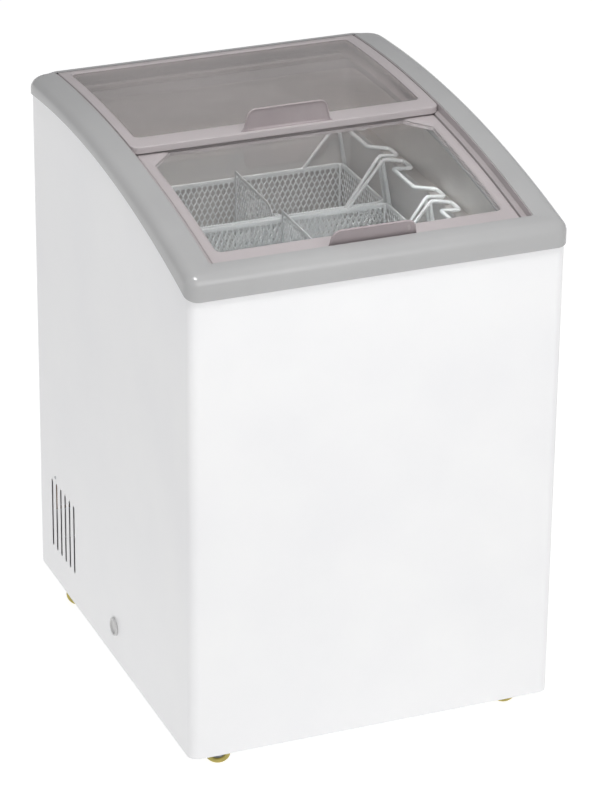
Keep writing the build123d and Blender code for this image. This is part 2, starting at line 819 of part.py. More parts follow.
# Tubes and wires: small round sections are drawn with few sides and mitred corners
def tube(points, outer, sides=8, bore=0):
    """Tube or wire along the points, with a bore where asked."""
    with BuildPart() as run:
        with BuildLine() as route:
            Polyline(*points)
        with BuildSketch(Plane(origin=points[0], z_dir=route.line % 0)):
            RegularPolygon(outer, sides)
            if bore:
                RegularPolygon(bore, sides, major_radius=False, mode=Mode.SUBTRACT)
        sweep(path=route.line, transition=Transition.RIGHT)
    return run.part


coil_x = LOWER_X + LINER + COIL_R
coil_rear = LOWER_REAR + LINER + COIL_R
coil_front = LOWER_FRONT - LINER - COIL_R
coil_points = [(COIL_GAP_X, coil_rear, BAY_TOP)]
for level in COIL_LEVELS:
    coil_points.append((COIL_GAP_X, coil_rear, level))
    coil_points.append((coil_x, coil_rear, level))
    coil_points.append((coil_x, coil_front, level))
    coil_points.append((-coil_x, coil_front, level))
    coil_points.append((-coil_x, coil_rear, level))
    coil_points.append((-COIL_GAP_X, coil_rear, level))

# Evaporator tube, wound round the tank's well
with BuildPart() as evaporator_coil:
    add(tube(coil_points, COIL_R))
save(evaporator_coil, "evaporator_coil")

skin_x = HALF_X - SHEET - SKIN_R
skin_front = -HALF_Y + SHEET + SKIN_R
low_run, middle_run, high_run = SKIN_LEVELS
side_points = [
    (skin_x, SKIN_REAR_Y, low_run),
    (skin_x, SKIN_FRONT_Y, low_run),
    (skin_x, SKIN_FRONT_Y, middle_run),
    (skin_x, SKIN_REAR_Y, middle_run),
    (skin_x, SKIN_REAR_Y, high_run),
    (skin_x, skin_front + SKIN_CORNER, high_run),
    (skin_x - SKIN_CORNER, skin_front, high_run),
]
skin_points = [(skin_x, SKIN_REAR_Y, SKIN_END_Z)] + side_points
skin_points += [(-x, y, z) for x, y, z in reversed(side_points)]
skin_points += [(-skin_x, SKIN_REAR_Y, SKIN_END_Z), (DRIER_X, SKIN_REAR_Y, SKIN_END_Z)]

# Condenser tube, laid against the inside of the wrap
with BuildPart() as condenser_coil:
    add(tube(skin_points, SKIN_R))
save(condenser_coil, "condenser_coil")

# Compressor: a drawn shell on a pair of feet
with BuildPart() as compressor:
    with BuildSketch(Plane.XY.offset(SHELL_LOW)):
        with Locations((COMPRESSOR_X, COMPRESSOR_Y)):
            RegularPolygon(SHELL_R, SHELL_SIDES)
    extrude(amount=SHELL_HIGH - SHELL_LOW)
    chamfer(compressor.faces().sort_by(Axis.Z)[-1].edges(), SHELL_TOP_CHAMFER)
    chamfer(compressor.faces().sort_by(Axis.Z)[0].edges(), SHELL_LOW_CHAMFER)
    with BuildSketch(Plane.XY.offset(FEET_Z)):
        with Locations((COMPRESSOR_X, COMPRESSOR_Y)):
            with GridLocations(1, 2 * FEET_Y, 1, 2):
                Rectangle(2 * (FEET_X + FOOT_PAST), FOOT_WIDE)
    extrude(amount=FEET_SHEET)
save(compressor, "compressor")

# Rubber grommets between the feet and the pan
with BuildPart() as compressor_grommets:
    with BuildSketch(Plane.XY.offset(PAN_TOP)):
        with Locations((COMPRESSOR_X, COMPRESSOR_Y)):
            with GridLocations(2 * FEET_X, 2 * FEET_Y, 2, 2):
                RegularPolygon(GROMMET_R, SIDES)
    extrude(amount=FEET_Z - PAN_TOP)
save(compressor_grommets, "compressor_grommets")

# Relay box, clipped to the shell
with BuildPart() as relay_box:
    with BuildSketch(Plane.XY.offset(RELAY_LOW)):
        with Locations((COMPRESSOR_X - SHELL_R - RELAY_OUT, COMPRESSOR_Y - RELAY_FORWARD)):
            Rectangle(RELAY_WIDE, RELAY_DEEP)
    extrude(amount=RELAY_TALL)
    add(compressor.part, mode=Mode.SUBTRACT)
save(relay_box, "relay_box")

# Suction line, from the evaporator down to the shell
with BuildPart() as suction_line:
    add(
        tube(
            [
                (COIL_GAP_X, coil_rear, BAY_TOP),
                (COIL_GAP_X, coil_rear, LINE_Z),
                (COMPRESSOR_X, COMPRESSOR_Y, LINE_Z),
            ],
            COIL_R,
        )
    )
    add(compressor.part, mode=Mode.SUBTRACT)
save(suction_line, "suction_line")

# Discharge line, from the shell to the condenser
with BuildPart() as discharge_line:
    add(
        tube(
            [
                (COMPRESSOR_X, COMPRESSOR_Y, LINE_Z),
                (skin_x - 40, COMPRESSOR_Y, LINE_Z),
                (skin_x, SKIN_REAR_Y, LINE_Z),
                (skin_x, SKIN_REAR_Y, SKIN_END_Z),
            ],
            SKIN_R,
        )
    )
    add(compressor.part, mode=Mode.SUBTRACT)
save(discharge_line, "discharge_line")

# Filter drier at the condenser's end, with its capillary tube back to the suction line
with BuildPart() as filter_drier:
    with BuildSketch(Plane.YZ.offset(DRIER_X)):
        with Locations((SKIN_REAR_Y, SKIN_END_Z)):
            RegularPolygon(DRIER_R, SIDES)
    extrude(amount=DRIER_LONG)
save(filter_drier, "filter_drier")

capillary_start = DRIER_X + DRIER_LONG
with BuildPart() as capillary_tube:
    add(
        tube(
            [
                (capillary_start, SKIN_REAR_Y, SKIN_END_Z),
                (capillary_start + 60, SKIN_REAR_Y, SKIN_END_Z),
                (capillary_start + 90, coil_rear, SKIN_END_Z + 40),
                (COIL_GAP_X - COIL_R + 0.3, coil_rear, SKIN_END_Z + 40),
            ],
            CAPILLARY_R,
        )
    )
    add(suction_line.part, mode=Mode.SUBTRACT)
save(capillary_tube, "capillary_tube")

# Drain: an elbow from the tank's floor to the left side, and its plug
with BuildPart() as drain_pipe:
    add(
        tube(
            [
                (DRAIN_X, DRAIN_Y, TANK_FLOOR_Z - LINER),
                (DRAIN_X, DRAIN_Y, DRAIN_Z),
                (-HALF_X, DRAIN_Y, DRAIN_Z),
            ],
            PIPE_R,
            SIDES,
            PIPE_BORE_R,
        )
    )
save(drain_pipe, "drain_pipe")

with BuildPart() as drain_plug:
    with BuildSketch(Plane.YZ.offset(-HALF_X - PLUG_GAP)):
        with Locations((DRAIN_Y, DRAIN_Z)):
            RegularPolygon(PLUG_R, 2 * SIDES)
    extrude(amount=-PLUG_HEAD)
    with BuildSketch(Plane.YZ.offset(-HALF_X - PLUG_GAP)):
        with Locations((DRAIN_Y, DRAIN_Z)):
            RegularPolygon(PIPE_BORE_R - 0.2, SIDES)
    extrude(amount=PLUG_SPIGOT)
save(drain_plug, "drain_plug")

# Bay cover at the rear, with air slots and a pressed pocket for the knob
cover_middle = (COVER_LOW + COVER_HIGH) / 2
with BuildPart() as bay_cover:
    with BuildSketch(Plane.XZ.offset(-HALF_Y)):
        with Locations((0, cover_middle)):
            RectangleRounded(2 * COVER_X, COVER_HIGH - COVER_LOW, 4)
        with Locations((-COVER_SLOT / 3, cover_middle)):
            with GridLocations(COVER_SLOT + 24, COVER_SLOT_PITCH, 2, COVER_ROWS):
                Rectangle(COVER_SLOT, COVER_SLOT_WIDE, mode=Mode.SUBTRACT)
    extrude(amount=-COVER_SHEET)
    with BuildSketch(Plane.XZ.offset(-HALF_Y - COVER_SHEET)):
        with Locations((KNOB_X, KNOB_Z)):
            Rectangle(POCKET + 2 * COVER_SHEET, POCKET + 2 * COVER_SHEET)
    extrude(amount=POCKET_DEEP + COVER_SHEET)
    with BuildSketch(Plane.XZ.offset(-HALF_Y - COVER_SHEET)):
        with Locations((KNOB_X, KNOB_Z)):
            Rectangle(POCKET, POCKET)
    extrude(amount=POCKET_DEEP, mode=Mode.SUBTRACT)
    with BuildSketch(Plane.XZ.offset(-HALF_Y - COVER_SHEET)):
        with Locations((KNOB_X, KNOB_Z)):
            RegularPolygon(SPINDLE_R + 0.5, SIDES, major_radius=False)
        with Locations((GLAND_X, GLAND_Z)):
            RegularPolygon(GLAND_R, SIDES)
    extrude(amount=POCKET_DEEP + COVER_SHEET, mode=Mode.SUBTRACT)
save(bay_cover, "bay_cover")

# Thermostat behind the pocket, its knob in it, and the gland for the mains lead
POCKET_BACK = HALF_Y - POCKET_DEEP
SPINDLE_END = POCKET_BACK - 6
with BuildPart() as thermostat_body:
    with BuildSketch(Plane.XZ.offset(-POCKET_BACK)):
        with Locations((KNOB_X, KNOB_Z)):
            Rectangle(THERMOSTAT_WIDE, THERMOSTAT_TALL)
    extrude(amount=THERMOSTAT_DEEP)
    with BuildSketch(Plane.XZ.offset(-POCKET_BACK)):
        with Locations((KNOB_X, KNOB_Z)):
            RegularPolygon(SPINDLE_R + 0.06, SIDES, major_radius=False)
    extrude(amount=POCKET_BACK - SPINDLE_END + 1, mode=Mode.SUBTRACT)
save(thermostat_body, "thermostat_body")

with BuildPart() as thermostat_knob:
    with BuildSketch(Plane.XZ.offset(-POCKET_BACK - COVER_SHEET - 1)):
        with Locations((KNOB_X, KNOB_Z)):
            RegularPolygon(KNOB_R, 2 * SIDES)
    extrude(amount=-KNOB_DEEP)
    with BuildSketch(Plane.XZ.offset(-POCKET_BACK - COVER_SHEET - 1 - KNOB_DEEP)):
        with Locations((KNOB_X, KNOB_Z)):
            Rectangle(KNOB_BAR, 2 * KNOB_R - 3)
    extrude(amount=-KNOB_BAR_TALL)
    with BuildSketch(Plane.XZ.offset(-SPINDLE_END)):
        with Locations((KNOB_X, KNOB_Z)):
            RegularPolygon(SPINDLE_R, SIDES)
    extrude(amount=-(POCKET_BACK + COVER_SHEET + 1 - SPINDLE_END))
save(thermostat_knob, "thermostat_knob")

with BuildPart() as cord_gland:
    for near, deep, radius in (
        (HALF_Y - 8, 8, GLAND_R + 3),
        (HALF_Y, COVER_SHEET, GLAND_R),
        (HALF_Y + COVER_SHEET, 3, GLAND_R + 3),
    ):
        with BuildSketch(Plane.XZ.offset(-near)):
            with Locations((GLAND_X, GLAND_Z)):
                RegularPolygon(radius, SIDES)
                RegularPolygon(CORD_R, SIDES, mode=Mode.SUBTRACT)
        extrude(amount=-deep)
save(cord_gland, "cord_gland")

# Castor mounts under the pan: plate, swivel bearing and headed kingpin
CASTORS = {
    "front_left": (-CASTOR_X, CASTOR_FRONT_Y, 1),
    "front_right": (CASTOR_X, CASTOR_FRONT_Y, -1),
    "rear_left": (-CASTOR_X, CASTOR_REAR_Y, -1),
    "rear_right": (CASTOR_X, CASTOR_REAR_Y, 1),
}
MOUNT_LAYERS = (
    (PAN_Z - PLATE_SHEET - BEARING_TALL, PAN_Z - PLATE_SHEET, BEARING_R),
    (CROWN_LOW - CASTOR_GAP, PAN_Z - PLATE_SHEET, KINGPIN_R),
    (CROWN_LOW - CASTOR_GAP - HEAD_TALL, CROWN_LOW - CASTOR_GAP, HEAD_R),
)

with BuildPart() as castor_mounts:
    for x, y, _ in CASTORS.values():
        with BuildSketch(Plane.XY.offset(PAN_Z - PLATE_SHEET)):
            with Locations((x, y)):
                Rectangle(PLATE_SIZE, PLATE_SIZE)
        extrude(amount=PLATE_SHEET)
        for low, high, radius in MOUNT_LAYERS:
            with BuildSketch(Plane.XY.offset(low)):
                with Locations((x, y)):
                    RegularPolygon(radius, SIDES)
            extrude(amount=high - low)
save(castor_mounts, "castor_mounts")


# Castors: a pressed fork with its axle, which swivels on the kingpin, and a wheel
def castor_planes(x, y, way):
    """Plan and side-view planes of a castor that trails to its way along the view's width."""
    ahead = Vector(cos(CASTOR_TURN), -sin(CASTOR_TURN), 0) * way
    across = ahead.cross(Vector(0, 0, 1))
    plan = Plane(origin=(x, y, 0), x_dir=ahead, z_dir=(0, 0, 1))
    profile = Plane(origin=(x, y, 0), x_dir=ahead, z_dir=across)
    return plan, profile


def castor_fork(plan, profile):
    """Crown plate, two cheeks and the axle between them."""
    cheek_out = WHEEL_WIDE / 2 + WHEEL_GAP + CHEEK
    with BuildPart() as fork:
        for inner, outer in ((-cheek_out, CHEEK - cheek_out), (cheek_out - CHEEK, cheek_out)):
            with BuildSketch(profile.offset(inner)):
                with BuildLine():
                    Polyline(
                        (-CROWN_REACH, CROWN_LOW),
                        (TRAIL - 6, WHEEL_R - 6),
                        (TRAIL + 6, WHEEL_R - 6),
                        (CROWN_REACH, CROWN_LOW),
                        (CROWN_REACH, CROWN_LOW + CHEEK),
                        (-CROWN_REACH, CROWN_LOW + CHEEK),
                        close=True,
                    )
                make_face()
            extrude(amount=outer - inner)
        with BuildSketch(plan.offset(CROWN_LOW)):
            Rectangle(2 * CROWN_REACH, 2 * cheek_out)
            RegularPolygon(
                KINGPIN_R + SWIVEL_GAP, SIDES, major_radius=False, mode=Mode.SUBTRACT
            )
        extrude(amount=CHEEK)
        with BuildSketch(profile.offset(-cheek_out)):
            with Locations((TRAIL, WHEEL_R)):
                RegularPolygon(AXLE_R, SIDES)
        extrude(amount=2 * cheek_out)
    return fork


def castor_wheel(profile):
    """Plain nylon wheel with its bore."""
    with BuildPart() as wheel:
        with BuildSketch(profile.offset(-WHEEL_WIDE / 2)):
            with Locations((TRAIL, WHEEL_R)):
                RegularPolygon(WHEEL_R, WHEEL_SIDES)
                RegularPolygon(AXLE_R + AXLE_GAP, SIDES, major_radius=False, mode=Mode.SUBTRACT)
        extrude(amount=WHEEL_WIDE)
    return wheel


for place, (x, y, way) in CASTORS.items():
    plan, profile = castor_planes(x, y, way)
    save(castor_fork(plan, profile), f"{place}_castor_fork")
    save(castor_wheel(profile), f"{place}_castor_wheel")


# Baskets: a rim strip and a bottom frame carry the mesh, and a bent wire at each end
# hangs the basket on the tank's ledge.
RIM_X = BASKET_LONG / 2 - WIRE_R + 0.5
RIM_Y = BASKET_WIDE / 2
MESH_X = RIM_X - STRIP
MESH_Y = RIM_Y - STRIP
RIM_LOW = RIM_Z - RIM_TALL
BASKET_LOW = RIM_Z - BASKET_DEEP


def ring_plan(middle, half_x, half_y, corner, thick):
    """Ring round a basket's middle, its corners bent twice."""
    with BuildSketch() as ring:
        add(cut_rectangle(middle, half_x, half_y, corner))
        add(
            cut_rectangle(middle, half_x - thick, half_y - thick, corner - 0.6 * thick),
            mode=Mode.SUBTRACT,
        )
    return ring.sketch_local


def hanger_path(middle, end):
    """Wire over one end: up from the rim, out over the ledge twice, and down again."""
    rim_x = end * BASKET_LONG / 2
    hook_x = end * HOOK_REACH
    hook_z = LEDGE_Z + HOOK_GAP + WIRE_R
    half = []
    for side in (-1, 1):
        far = middle + side * (HOOK_Y + HOOK_WIDE / 2)
        near = middle + side * (HOOK_Y - HOOK_WIDE / 2)
        half.append(
            [
                (rim_x, far, RIM_LOW),
                (rim_x, far, hook_z),
                (hook_x, far, hook_z),
                (hook_x, near, hook_z),
                (rim_x, near, hook_z),
            ]
        )
    return half[0] + half[1][::-1]


def basket_frame(middle):
    """Rim strip and bottom frame, with the hangers, braces and corner wires welded on."""
    corner_x = RIM_X - CORNER_IN
    corner_y = RIM_Y - CORNER_IN
    brace_top = LEDGE_Z
    with BuildPart() as frame:
        with BuildSketch(Plane.XY.offset(RIM_LOW)):
            add(ring_plan(middle, RIM_X, RIM_Y, BASKET_CORNER, STRIP))
        extrude(amount=RIM_TALL)
        with BuildSketch(Plane.XY.offset(BASKET_LOW)):
            add(ring_plan(middle, RIM_X, RIM_Y, BASKET_CORNER, 2 * STRIP))
        extrude(amount=2 * STRIP)
        for end in (-1, 1):
            add(tube(hanger_path(middle, end), WIRE_R, WIRE_SIDES))
            for side in (-1, 1):
                corner = (end * corner_x, middle + side * corner_y)
                add(tube([(*corner, BASKET_LOW), (*corner, RIM_LOW + 1)], WIRE_R, WIRE_SIDES))
                brace = [
                    (
                        end * BASKET_LONG / 2,
                        middle + side * (HOOK_Y + HOOK_WIDE / 2),
                        brace_top,
                    ),
                    (
                        end * (BASKET_LONG / 2 - BRACE),
                        middle + side * RIM_Y,
                        RIM_LOW + 2,
                    ),
                ]
                add(tube(brace, BRACE_R, WIRE_SIDES))
    return frame


def basket_mesh(middle):
    """Mesh wall bent round the basket, and a mesh floor, drawn with wide openings."""
    low = BASKET_LOW + 2 * STRIP
    tall = RIM_Z - 1 - low
    floor_pitch = (2 * MESH_X - 20) / MESH_LONG_COUNT
    with BuildPart() as wall:
        with BuildSketch(Plane.XY.offset(low)):
            add(ring_plan(middle, MESH_X, MESH_Y, BASKET_CORNER - 0.6 * STRIP, MESH))
        extrude(amount=tall)
        for plane, count, wide, reach in (
            (Plane.XZ.offset(-middle), MESH_LONG_COUNT, 2 * MESH_X, BASKET_WIDE),
            (Plane.YZ, MESH_END_COUNT, 2 * MESH_Y, BASKET_LONG),
        ):
            across = 0 if plane.z_dir.Y else middle
            pitch = (wide - 2 * BASKET_CORNER) / count
            with BuildSketch(plane):
                with Locations((across, low + tall / 2)):
                    with GridLocations(pitch, 1, count, 1):
                        Rectangle(pitch - MESH_BAR, tall - 2 * RIM_TALL)
            extrude(amount=reach, both=True, mode=Mode.SUBTRACT)
    with BuildPart() as floor:
        with BuildSketch(Plane.XY.offset(low)):
            with Locations((0, middle)):
                Rectangle(2 * (MESH_X - MESH) - 8, 2 * (MESH_Y - MESH) - 0.1)
                with GridLocations(floor_pitch, 1, MESH_LONG_COUNT, 1):
                    Rectangle(
                        floor_pitch - MESH_BAR, 2 * MESH_Y - RIM_TALL, mode=Mode.SUBTRACT
                    )
        extrude(amount=MESH)
    with BuildPart() as mesh:
        add(wall.part)
        add(floor.part)
    return mesh


def basket_divider(middle, x):
    """Plate across a basket, rounded down at its front top corner, with a lip on each rim."""
    inner_y = MESH_Y - MESH - 0.6
    with BuildPart() as divider:
        with BuildSketch(Plane.YZ.offset(x)):
            with BuildLine():
                Polyline(
                    (middle - inner_y, RIM_Z - DIVIDER_DEEP),
                    (middle + inner_y, RIM_Z - DIVIDER_DEEP),
                    (middle + inner_y, RIM_Z + DIVIDER_RISE),
                    (middle - inner_y + DIVIDER_ROUND, RIM_Z + DIVIDER_RISE),
                )
                Spline(
                    (middle - inner_y + DIVIDER_ROUND, RIM_Z + DIVIDER_RISE),
                    (middle - inner_y, RIM_Z + 1),
                    tangents=((-1, 0), (-1, -1)),
                )
                Line((middle - inner_y, RIM_Z + 1), (middle - inner_y, RIM_Z - DIVIDER_DEEP))
            make_face()
        extrude(amount=DIVIDER_SHEET)
        for side in (-1, 1):
            with BuildSketch(Plane.XY.offset(RIM_Z + HOOK_GAP)):
                with Locations((x + DIVIDER_LIP / 2, middle + side * (inner_y - 1))):
                    Rectangle(DIVIDER_LIP, 9)
            extrude(amount=DIVIDER_SHEET)
    return divider


BASKETS = {
    "rear": BASKET_REAR_Y,
    "middle": BASKET_REAR_Y - BASKET_PITCH,
    "front": BASKET_REAR_Y - 2 * BASKET_PITCH,
}
for place, middle in BASKETS.items():
    save(basket_frame(middle), f"{place}_basket_frame")
    save(basket_mesh(middle), f"{place}_basket_mesh")

save(basket_divider(BASKETS["rear"], 20), "rear_basket_divider")
save(basket_divider(BASKETS["middle"], 28), "middle_basket_divider")
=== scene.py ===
# %% [markdown]
# A small freezer for ice cream, with two bent glass lids that slide in a moulded collar.
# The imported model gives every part's place and the bodies that move. This notebook dresses it:
# it keeps the flat sheet metal parts, gives them finishes, and works out the parts whose
# smooth curves the eye follows as numpy surfaces in the same frame, in metres.

# %% Load the frame
from math import asin, cos, pi, radians, sin

import bmesh
import bpy
import numpy as np
from mathutils import Matrix, Vector


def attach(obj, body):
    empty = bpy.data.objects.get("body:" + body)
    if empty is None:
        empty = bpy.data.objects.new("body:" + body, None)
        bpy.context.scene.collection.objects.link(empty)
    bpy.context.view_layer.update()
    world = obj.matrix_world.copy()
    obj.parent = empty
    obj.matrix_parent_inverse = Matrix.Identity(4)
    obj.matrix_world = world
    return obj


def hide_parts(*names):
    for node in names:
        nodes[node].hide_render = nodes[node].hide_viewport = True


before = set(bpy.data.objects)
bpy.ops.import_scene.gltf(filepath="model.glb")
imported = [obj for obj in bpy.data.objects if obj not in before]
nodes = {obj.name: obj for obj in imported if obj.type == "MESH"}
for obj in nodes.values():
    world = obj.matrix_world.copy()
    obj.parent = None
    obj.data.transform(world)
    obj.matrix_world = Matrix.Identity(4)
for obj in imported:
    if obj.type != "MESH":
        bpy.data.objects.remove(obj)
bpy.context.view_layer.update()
MM = 0.001

# %% [markdown]
# A product photographer puts such a white object on a table of opal acrylic that is lit from
# below, so the table comes out pure white and nearly without shadow. An even sky of pale grey
# fills every side, and a broad lamp in front makes the front the brightest side. A small lamp
# above has a grid that narrows its light: it makes the wires brighter than the walls round them.

# %% Colours and nodes
def linear(code):
    """Linear RGBA of an sRGB hex colour, by the sRGB curve."""
    value = np.array([int(code[i : i + 2], 16) for i in (0, 2, 4)]) / 255
    curve = np.where(value <= 0.04045, value / 12.92, ((value + 0.055) / 1.055) ** 2.4)
    return (*curve.tolist(), 1.0)


def add(tree, kind, sockets=None, **settings):
    """Adds a node to the tree. A named socket gets a value, or a link if given a socket."""
    made = tree.nodes.new("ShaderNode" + kind)
    for name, value in settings.items():
        setattr(made, name, value)
    for name, value in (sockets or {}).items():
        if isinstance(value, bpy.types.NodeSocket):
            tree.links.new(value, made.inputs[name])
        else:
            made.inputs[name].default_value = value
    return made


def new_finish(name):
    """An empty material, its tree and the Object coordinates."""
    made = bpy.data.materials.new(name)
    made.use_nodes = True
    made.node_tree.nodes.clear()
    return made, made.node_tree, add(made.node_tree, "TexCoord").outputs["Object"]


# %% Floor, lamps and sky
scene = bpy.context.scene
scene.view_settings.view_transform = "Standard"


def lit_table():
    """Matt opal acrylic with a faint, broad unevenness. Lit from below, it glows more than it
    reflects."""
    made, tree, place = new_finish("lit_white_acrylic")
    cloud = add(tree, "TexNoise", {"Vector": place, "Scale": 0.7, "Detail": 2.0})
    tone = add(tree, "ValToRGB", {"Fac": cloud.outputs["Fac"]})
    for element, code in zip(tone.color_ramp.elements, ("A6A6A6", "AAAAAA")):
        element.color = linear(code)
    shader = add(tree, "BsdfPrincipled", {
        "Base Color": tone.outputs["Color"],
        "Roughness": 0.9,
        "Emission Color": linear("FFFFFF"),
        "Emission Strength": 0.87,
    })
    add(tree, "OutputMaterial", {"Surface": shader.outputs["BSDF"]})
    return made


FLOOR_HALF = 40.0
floor_mesh = bpy.data.meshes.new("table_top")
floor_mesh.from_pydata(
    [(x * FLOOR_HALF, y * FLOOR_HALF, 0) for x, y in ((-1, -1), (1, -1), (1, 1), (-1, 1))],
    [],
    [(0, 1, 2, 3)],
)
floor = bpy.data.objects.new("table_top", floor_mesh)
floor_mesh.materials.append(lit_table())
scene.collection.objects.link(floor)

sky = bpy.data.worlds.new("studio_sky")
sky.use_nodes = True
sky.node_tree.nodes["Background"].inputs["Color"].default_value = linear("F8F8FA")
sky.node_tree.nodes["Background"].inputs["Strength"].default_value = 0.38
scene.world = sky


def lamp(name, place, aim, width, height, power, spread=180):
    """A soft box of this size in metres, turned to its aim. A grid on it narrows the spread."""
    light = bpy.data.lights.new(name, "AREA")
    light.shape, light.size, light.size_y, light.energy = "RECTANGLE", width, height, power
    light.spread = radians(spread)
    box = bpy.data.objects.new(name, light)
    box.location = place
    box.rotation_euler = (Vector(aim) - Vector(place)).to_track_quat("-Z", "Y").to_euler()
    scene.collection.objects.link(box)
    return box


lamp("front_box", (0.4, -3.6, 2.9), (0, 0, 0.7), 2.4, 2.0, 37)
lamp("top_box", (-0.3, -0.9, 3.0), (0, -0.18, 0.8), 0.9, 0.9, 4.2, 55)

# %% [markdown]
# The camera stands where the photographer's did: a little above the lids, in front and to the
# left, far away with a long lens, so that upright edges stay almost parallel. Its place, turn
# and focal length were worked out from corners of the cabinet and their places in the model.

# %% Camera
CAMERA_PLACE = Vector((-1.8993, -4.6708, 2.7784))
YAW, PITCH, ROLL = radians(22.292), radians(-25.289), radians(0.585)
CAMERA_LENS = 170.2

forward = Vector((sin(YAW) * cos(PITCH), cos(YAW) * cos(PITCH), sin(PITCH)))
level = Vector((cos(YAW), -sin(YAW), 0))
upright = level.cross(forward)
right = cos(ROLL) * level + sin(ROLL) * upright
above = cos(ROLL) * upright - sin(ROLL) * level
lens = bpy.data.cameras.new("photo_camera")
lens.sensor_width, lens.lens = 36.0, CAMERA_LENS
camera = bpy.data.objects.new("photo_camera", lens)
camera_turn = Matrix((right, above, -forward)).transposed().to_4x4()
camera.matrix_world = Matrix.Translation(CAMERA_PLACE) @ camera_turn
scene.collection.objects.link(camera)
scene.camera = camera
print("camera at", tuple(round(v, 2) for v in camera.location))

# %% [markdown]
# Most of the shapes here are one idea: a line is carried along a path, and the points it passes
# through make a grid. A moulding's section is carried round a rounded rectangle, a wire's circle
# along a bent line, a track's section along the lids' arc, a wheel's outline round its axle.
# So a few functions that lay out rings of points, and one that joins them, make nearly all.

# %% Grid helpers
def rounded_line(points, rounds, side_steps, turn_steps, closed=True):
    """Line through points with its corners rounded. Every corner is a rational quadratic Bezier
    with the weight that makes it an exact arc: ((1-t)^2 a + 2wt(1-t) p + t^2 b) over the same sum
    of weights, where a and b are the arc's ends. A negative round cuts the corner off straight.
    The straight between two corners is divided evenly."""
    p = np.asarray(points, float)
    size = np.broadcast_to(np.asarray(rounds, float), (len(p),)).copy()
    if not closed:
        size[[0, -1]] = 0
    run = np.roll(p, -1, 0) - p
    ahead = run / np.linalg.norm(run, axis=1, keepdims=True)
    back = -np.roll(ahead, 1, 0)
    half = np.arccos(np.clip((ahead * back).sum(1), -1, 1)) / 2
    cut = size < 0
    weight = np.where(cut, 0.0, np.sin(half))[:, None, None]
    reach = np.where(cut, -size, size / np.maximum(np.tan(half), 1e-9))[:, None]
    a, b = (p + back * reach)[:, None], (p + ahead * reach)[:, None]
    t = np.linspace(0, 1, turn_steps + 1)[None, :, None]
    parts = (1 - t) ** 2, 2 * weight * t * (1 - t), t**2
    arcs = (parts[0] * a + parts[1] * p[:, None] + parts[2] * b) / sum(parts)
    s = np.linspace(0, 1, side_steps + 1)[None, 1:-1, None]
    sides = b + (np.roll(a, -1, 0) - b) * s
    line = np.concatenate([arcs, sides], 1).reshape(-1, p.shape[1])
    return line if closed else line[turn_steps : len(line) - (side_steps - 1) - turn_steps]


def joined(rows, columns, wrap_rows, wrap_columns):
    """Quads between neighbouring points of a grid, as rows of four indices."""
    r = np.arange(rows if wrap_rows else rows - 1)[:, None]
    c = np.arange(columns if wrap_columns else columns - 1)[None, :]
    r2, c2 = (r + 1) % rows, (c + 1) % columns
    grid = np.stack([r * columns + c, r * columns + c2, r2 * columns + c2, r2 * columns + c], -1)
    return grid.reshape(-1, 4)


def piece(name, shells, finish, body, stands_for=(), sharp=35, closed=True):
    """A mesh object from points in millimetres and faces, shaded smooth between sharp edges. An
    edge is sharp past this angle, and where a sheet ends. Closed shells are turned outwards."""
    points, faces = shells
    mesh = bpy.data.meshes.new(name)
    mesh.from_pydata((np.asarray(points, float) * MM).tolist(), [], faces)
    shape = bmesh.new()
    shape.from_mesh(mesh)
    bmesh.ops.remove_doubles(shape, verts=shape.verts, dist=2e-6)
    if closed:
        bmesh.ops.recalc_face_normals(shape, faces=shape.faces)
    shape.to_mesh(mesh)
    shape.free()
    mesh.polygons.foreach_set("use_smooth", np.ones(len(mesh.polygons), bool))
    mesh.set_sharp_from_angle(angle=radians(sharp))
    edge_of_loop = np.empty(len(mesh.loops), int)
    mesh.loops.foreach_get("edge_index", edge_of_loop)
    is_sharp = np.empty(len(mesh.edges), bool)
    mesh.edges.foreach_get("use_edge_sharp", is_sharp)
    is_sharp |= np.bincount(edge_of_loop, minlength=len(mesh.edges)) == 1
    mesh.edges.foreach_set("use_edge_sharp", is_sharp)
    mesh.materials.append(finish)
    made = bpy.data.objects.new(name, mesh)
    scene.collection.objects.link(made)
    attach(made, body)
    if stands_for:
        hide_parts(*stands_for)
    return made


def ringed(rings, wrap=False):
    """Points and faces of rings joined in order. Wrapped, the last ring meets the first,
    and otherwise each end is closed with one flat face."""
    rings = np.asarray(rings, float)
    count, size = rings.shape[:2]
    faces = joined(count, size, wrap, True).tolist()
    if not wrap:
        last = (count - 1) * size
        faces += [list(range(size))[::-1], list(range(last, last + size))]
    return rings.reshape(-1, 3), faces


def gathered(parts):
    """Several shells as one list of points and one of faces."""
    points, faces, start = [], [], 0
    for shell_points, shell_faces in parts:
        points.append(shell_points)
        faces += [[i + start for i in face] for face in shell_faces]
        start += len(shell_points)
    return np.concatenate(points), faces


# %% The lids' arcs
ARC_RADIUS, ARC_Y, CROWN_Z = 2100.0, 170.0, 832.0
ARC_Z = CROWN_Z - ARC_RADIUS


def crown(y, drop):
    """Height of the arc that lies this drop inside the crown, straight above y."""
    return ARC_Z + np.sqrt((ARC_RADIUS - drop) ** 2 - (y - ARC_Y) ** 2)


def along_arc(profile, front, rear, steps):
    """A closed section of (x, drop) carried along the arc from front to rear: each step turns
    the section about the arc's far axis, so it stays square to the arc."""
    ends = [asin((y - ARC_Y) / ARC_RADIUS) for y in (front, rear)]
    turn = np.linspace(*ends, steps + 1)
    x, drop = np.asarray(profile, float).T
    radius = ARC_RADIUS - drop
    rings = np.empty((steps + 1, len(x), 3))
    rings[..., 0] = x
    rings[..., 1] = ARC_Y + radius * np.sin(turn)[:, None]
    rings[..., 2] = ARC_Z + radius * np.cos(turn)[:, None]
    return rings


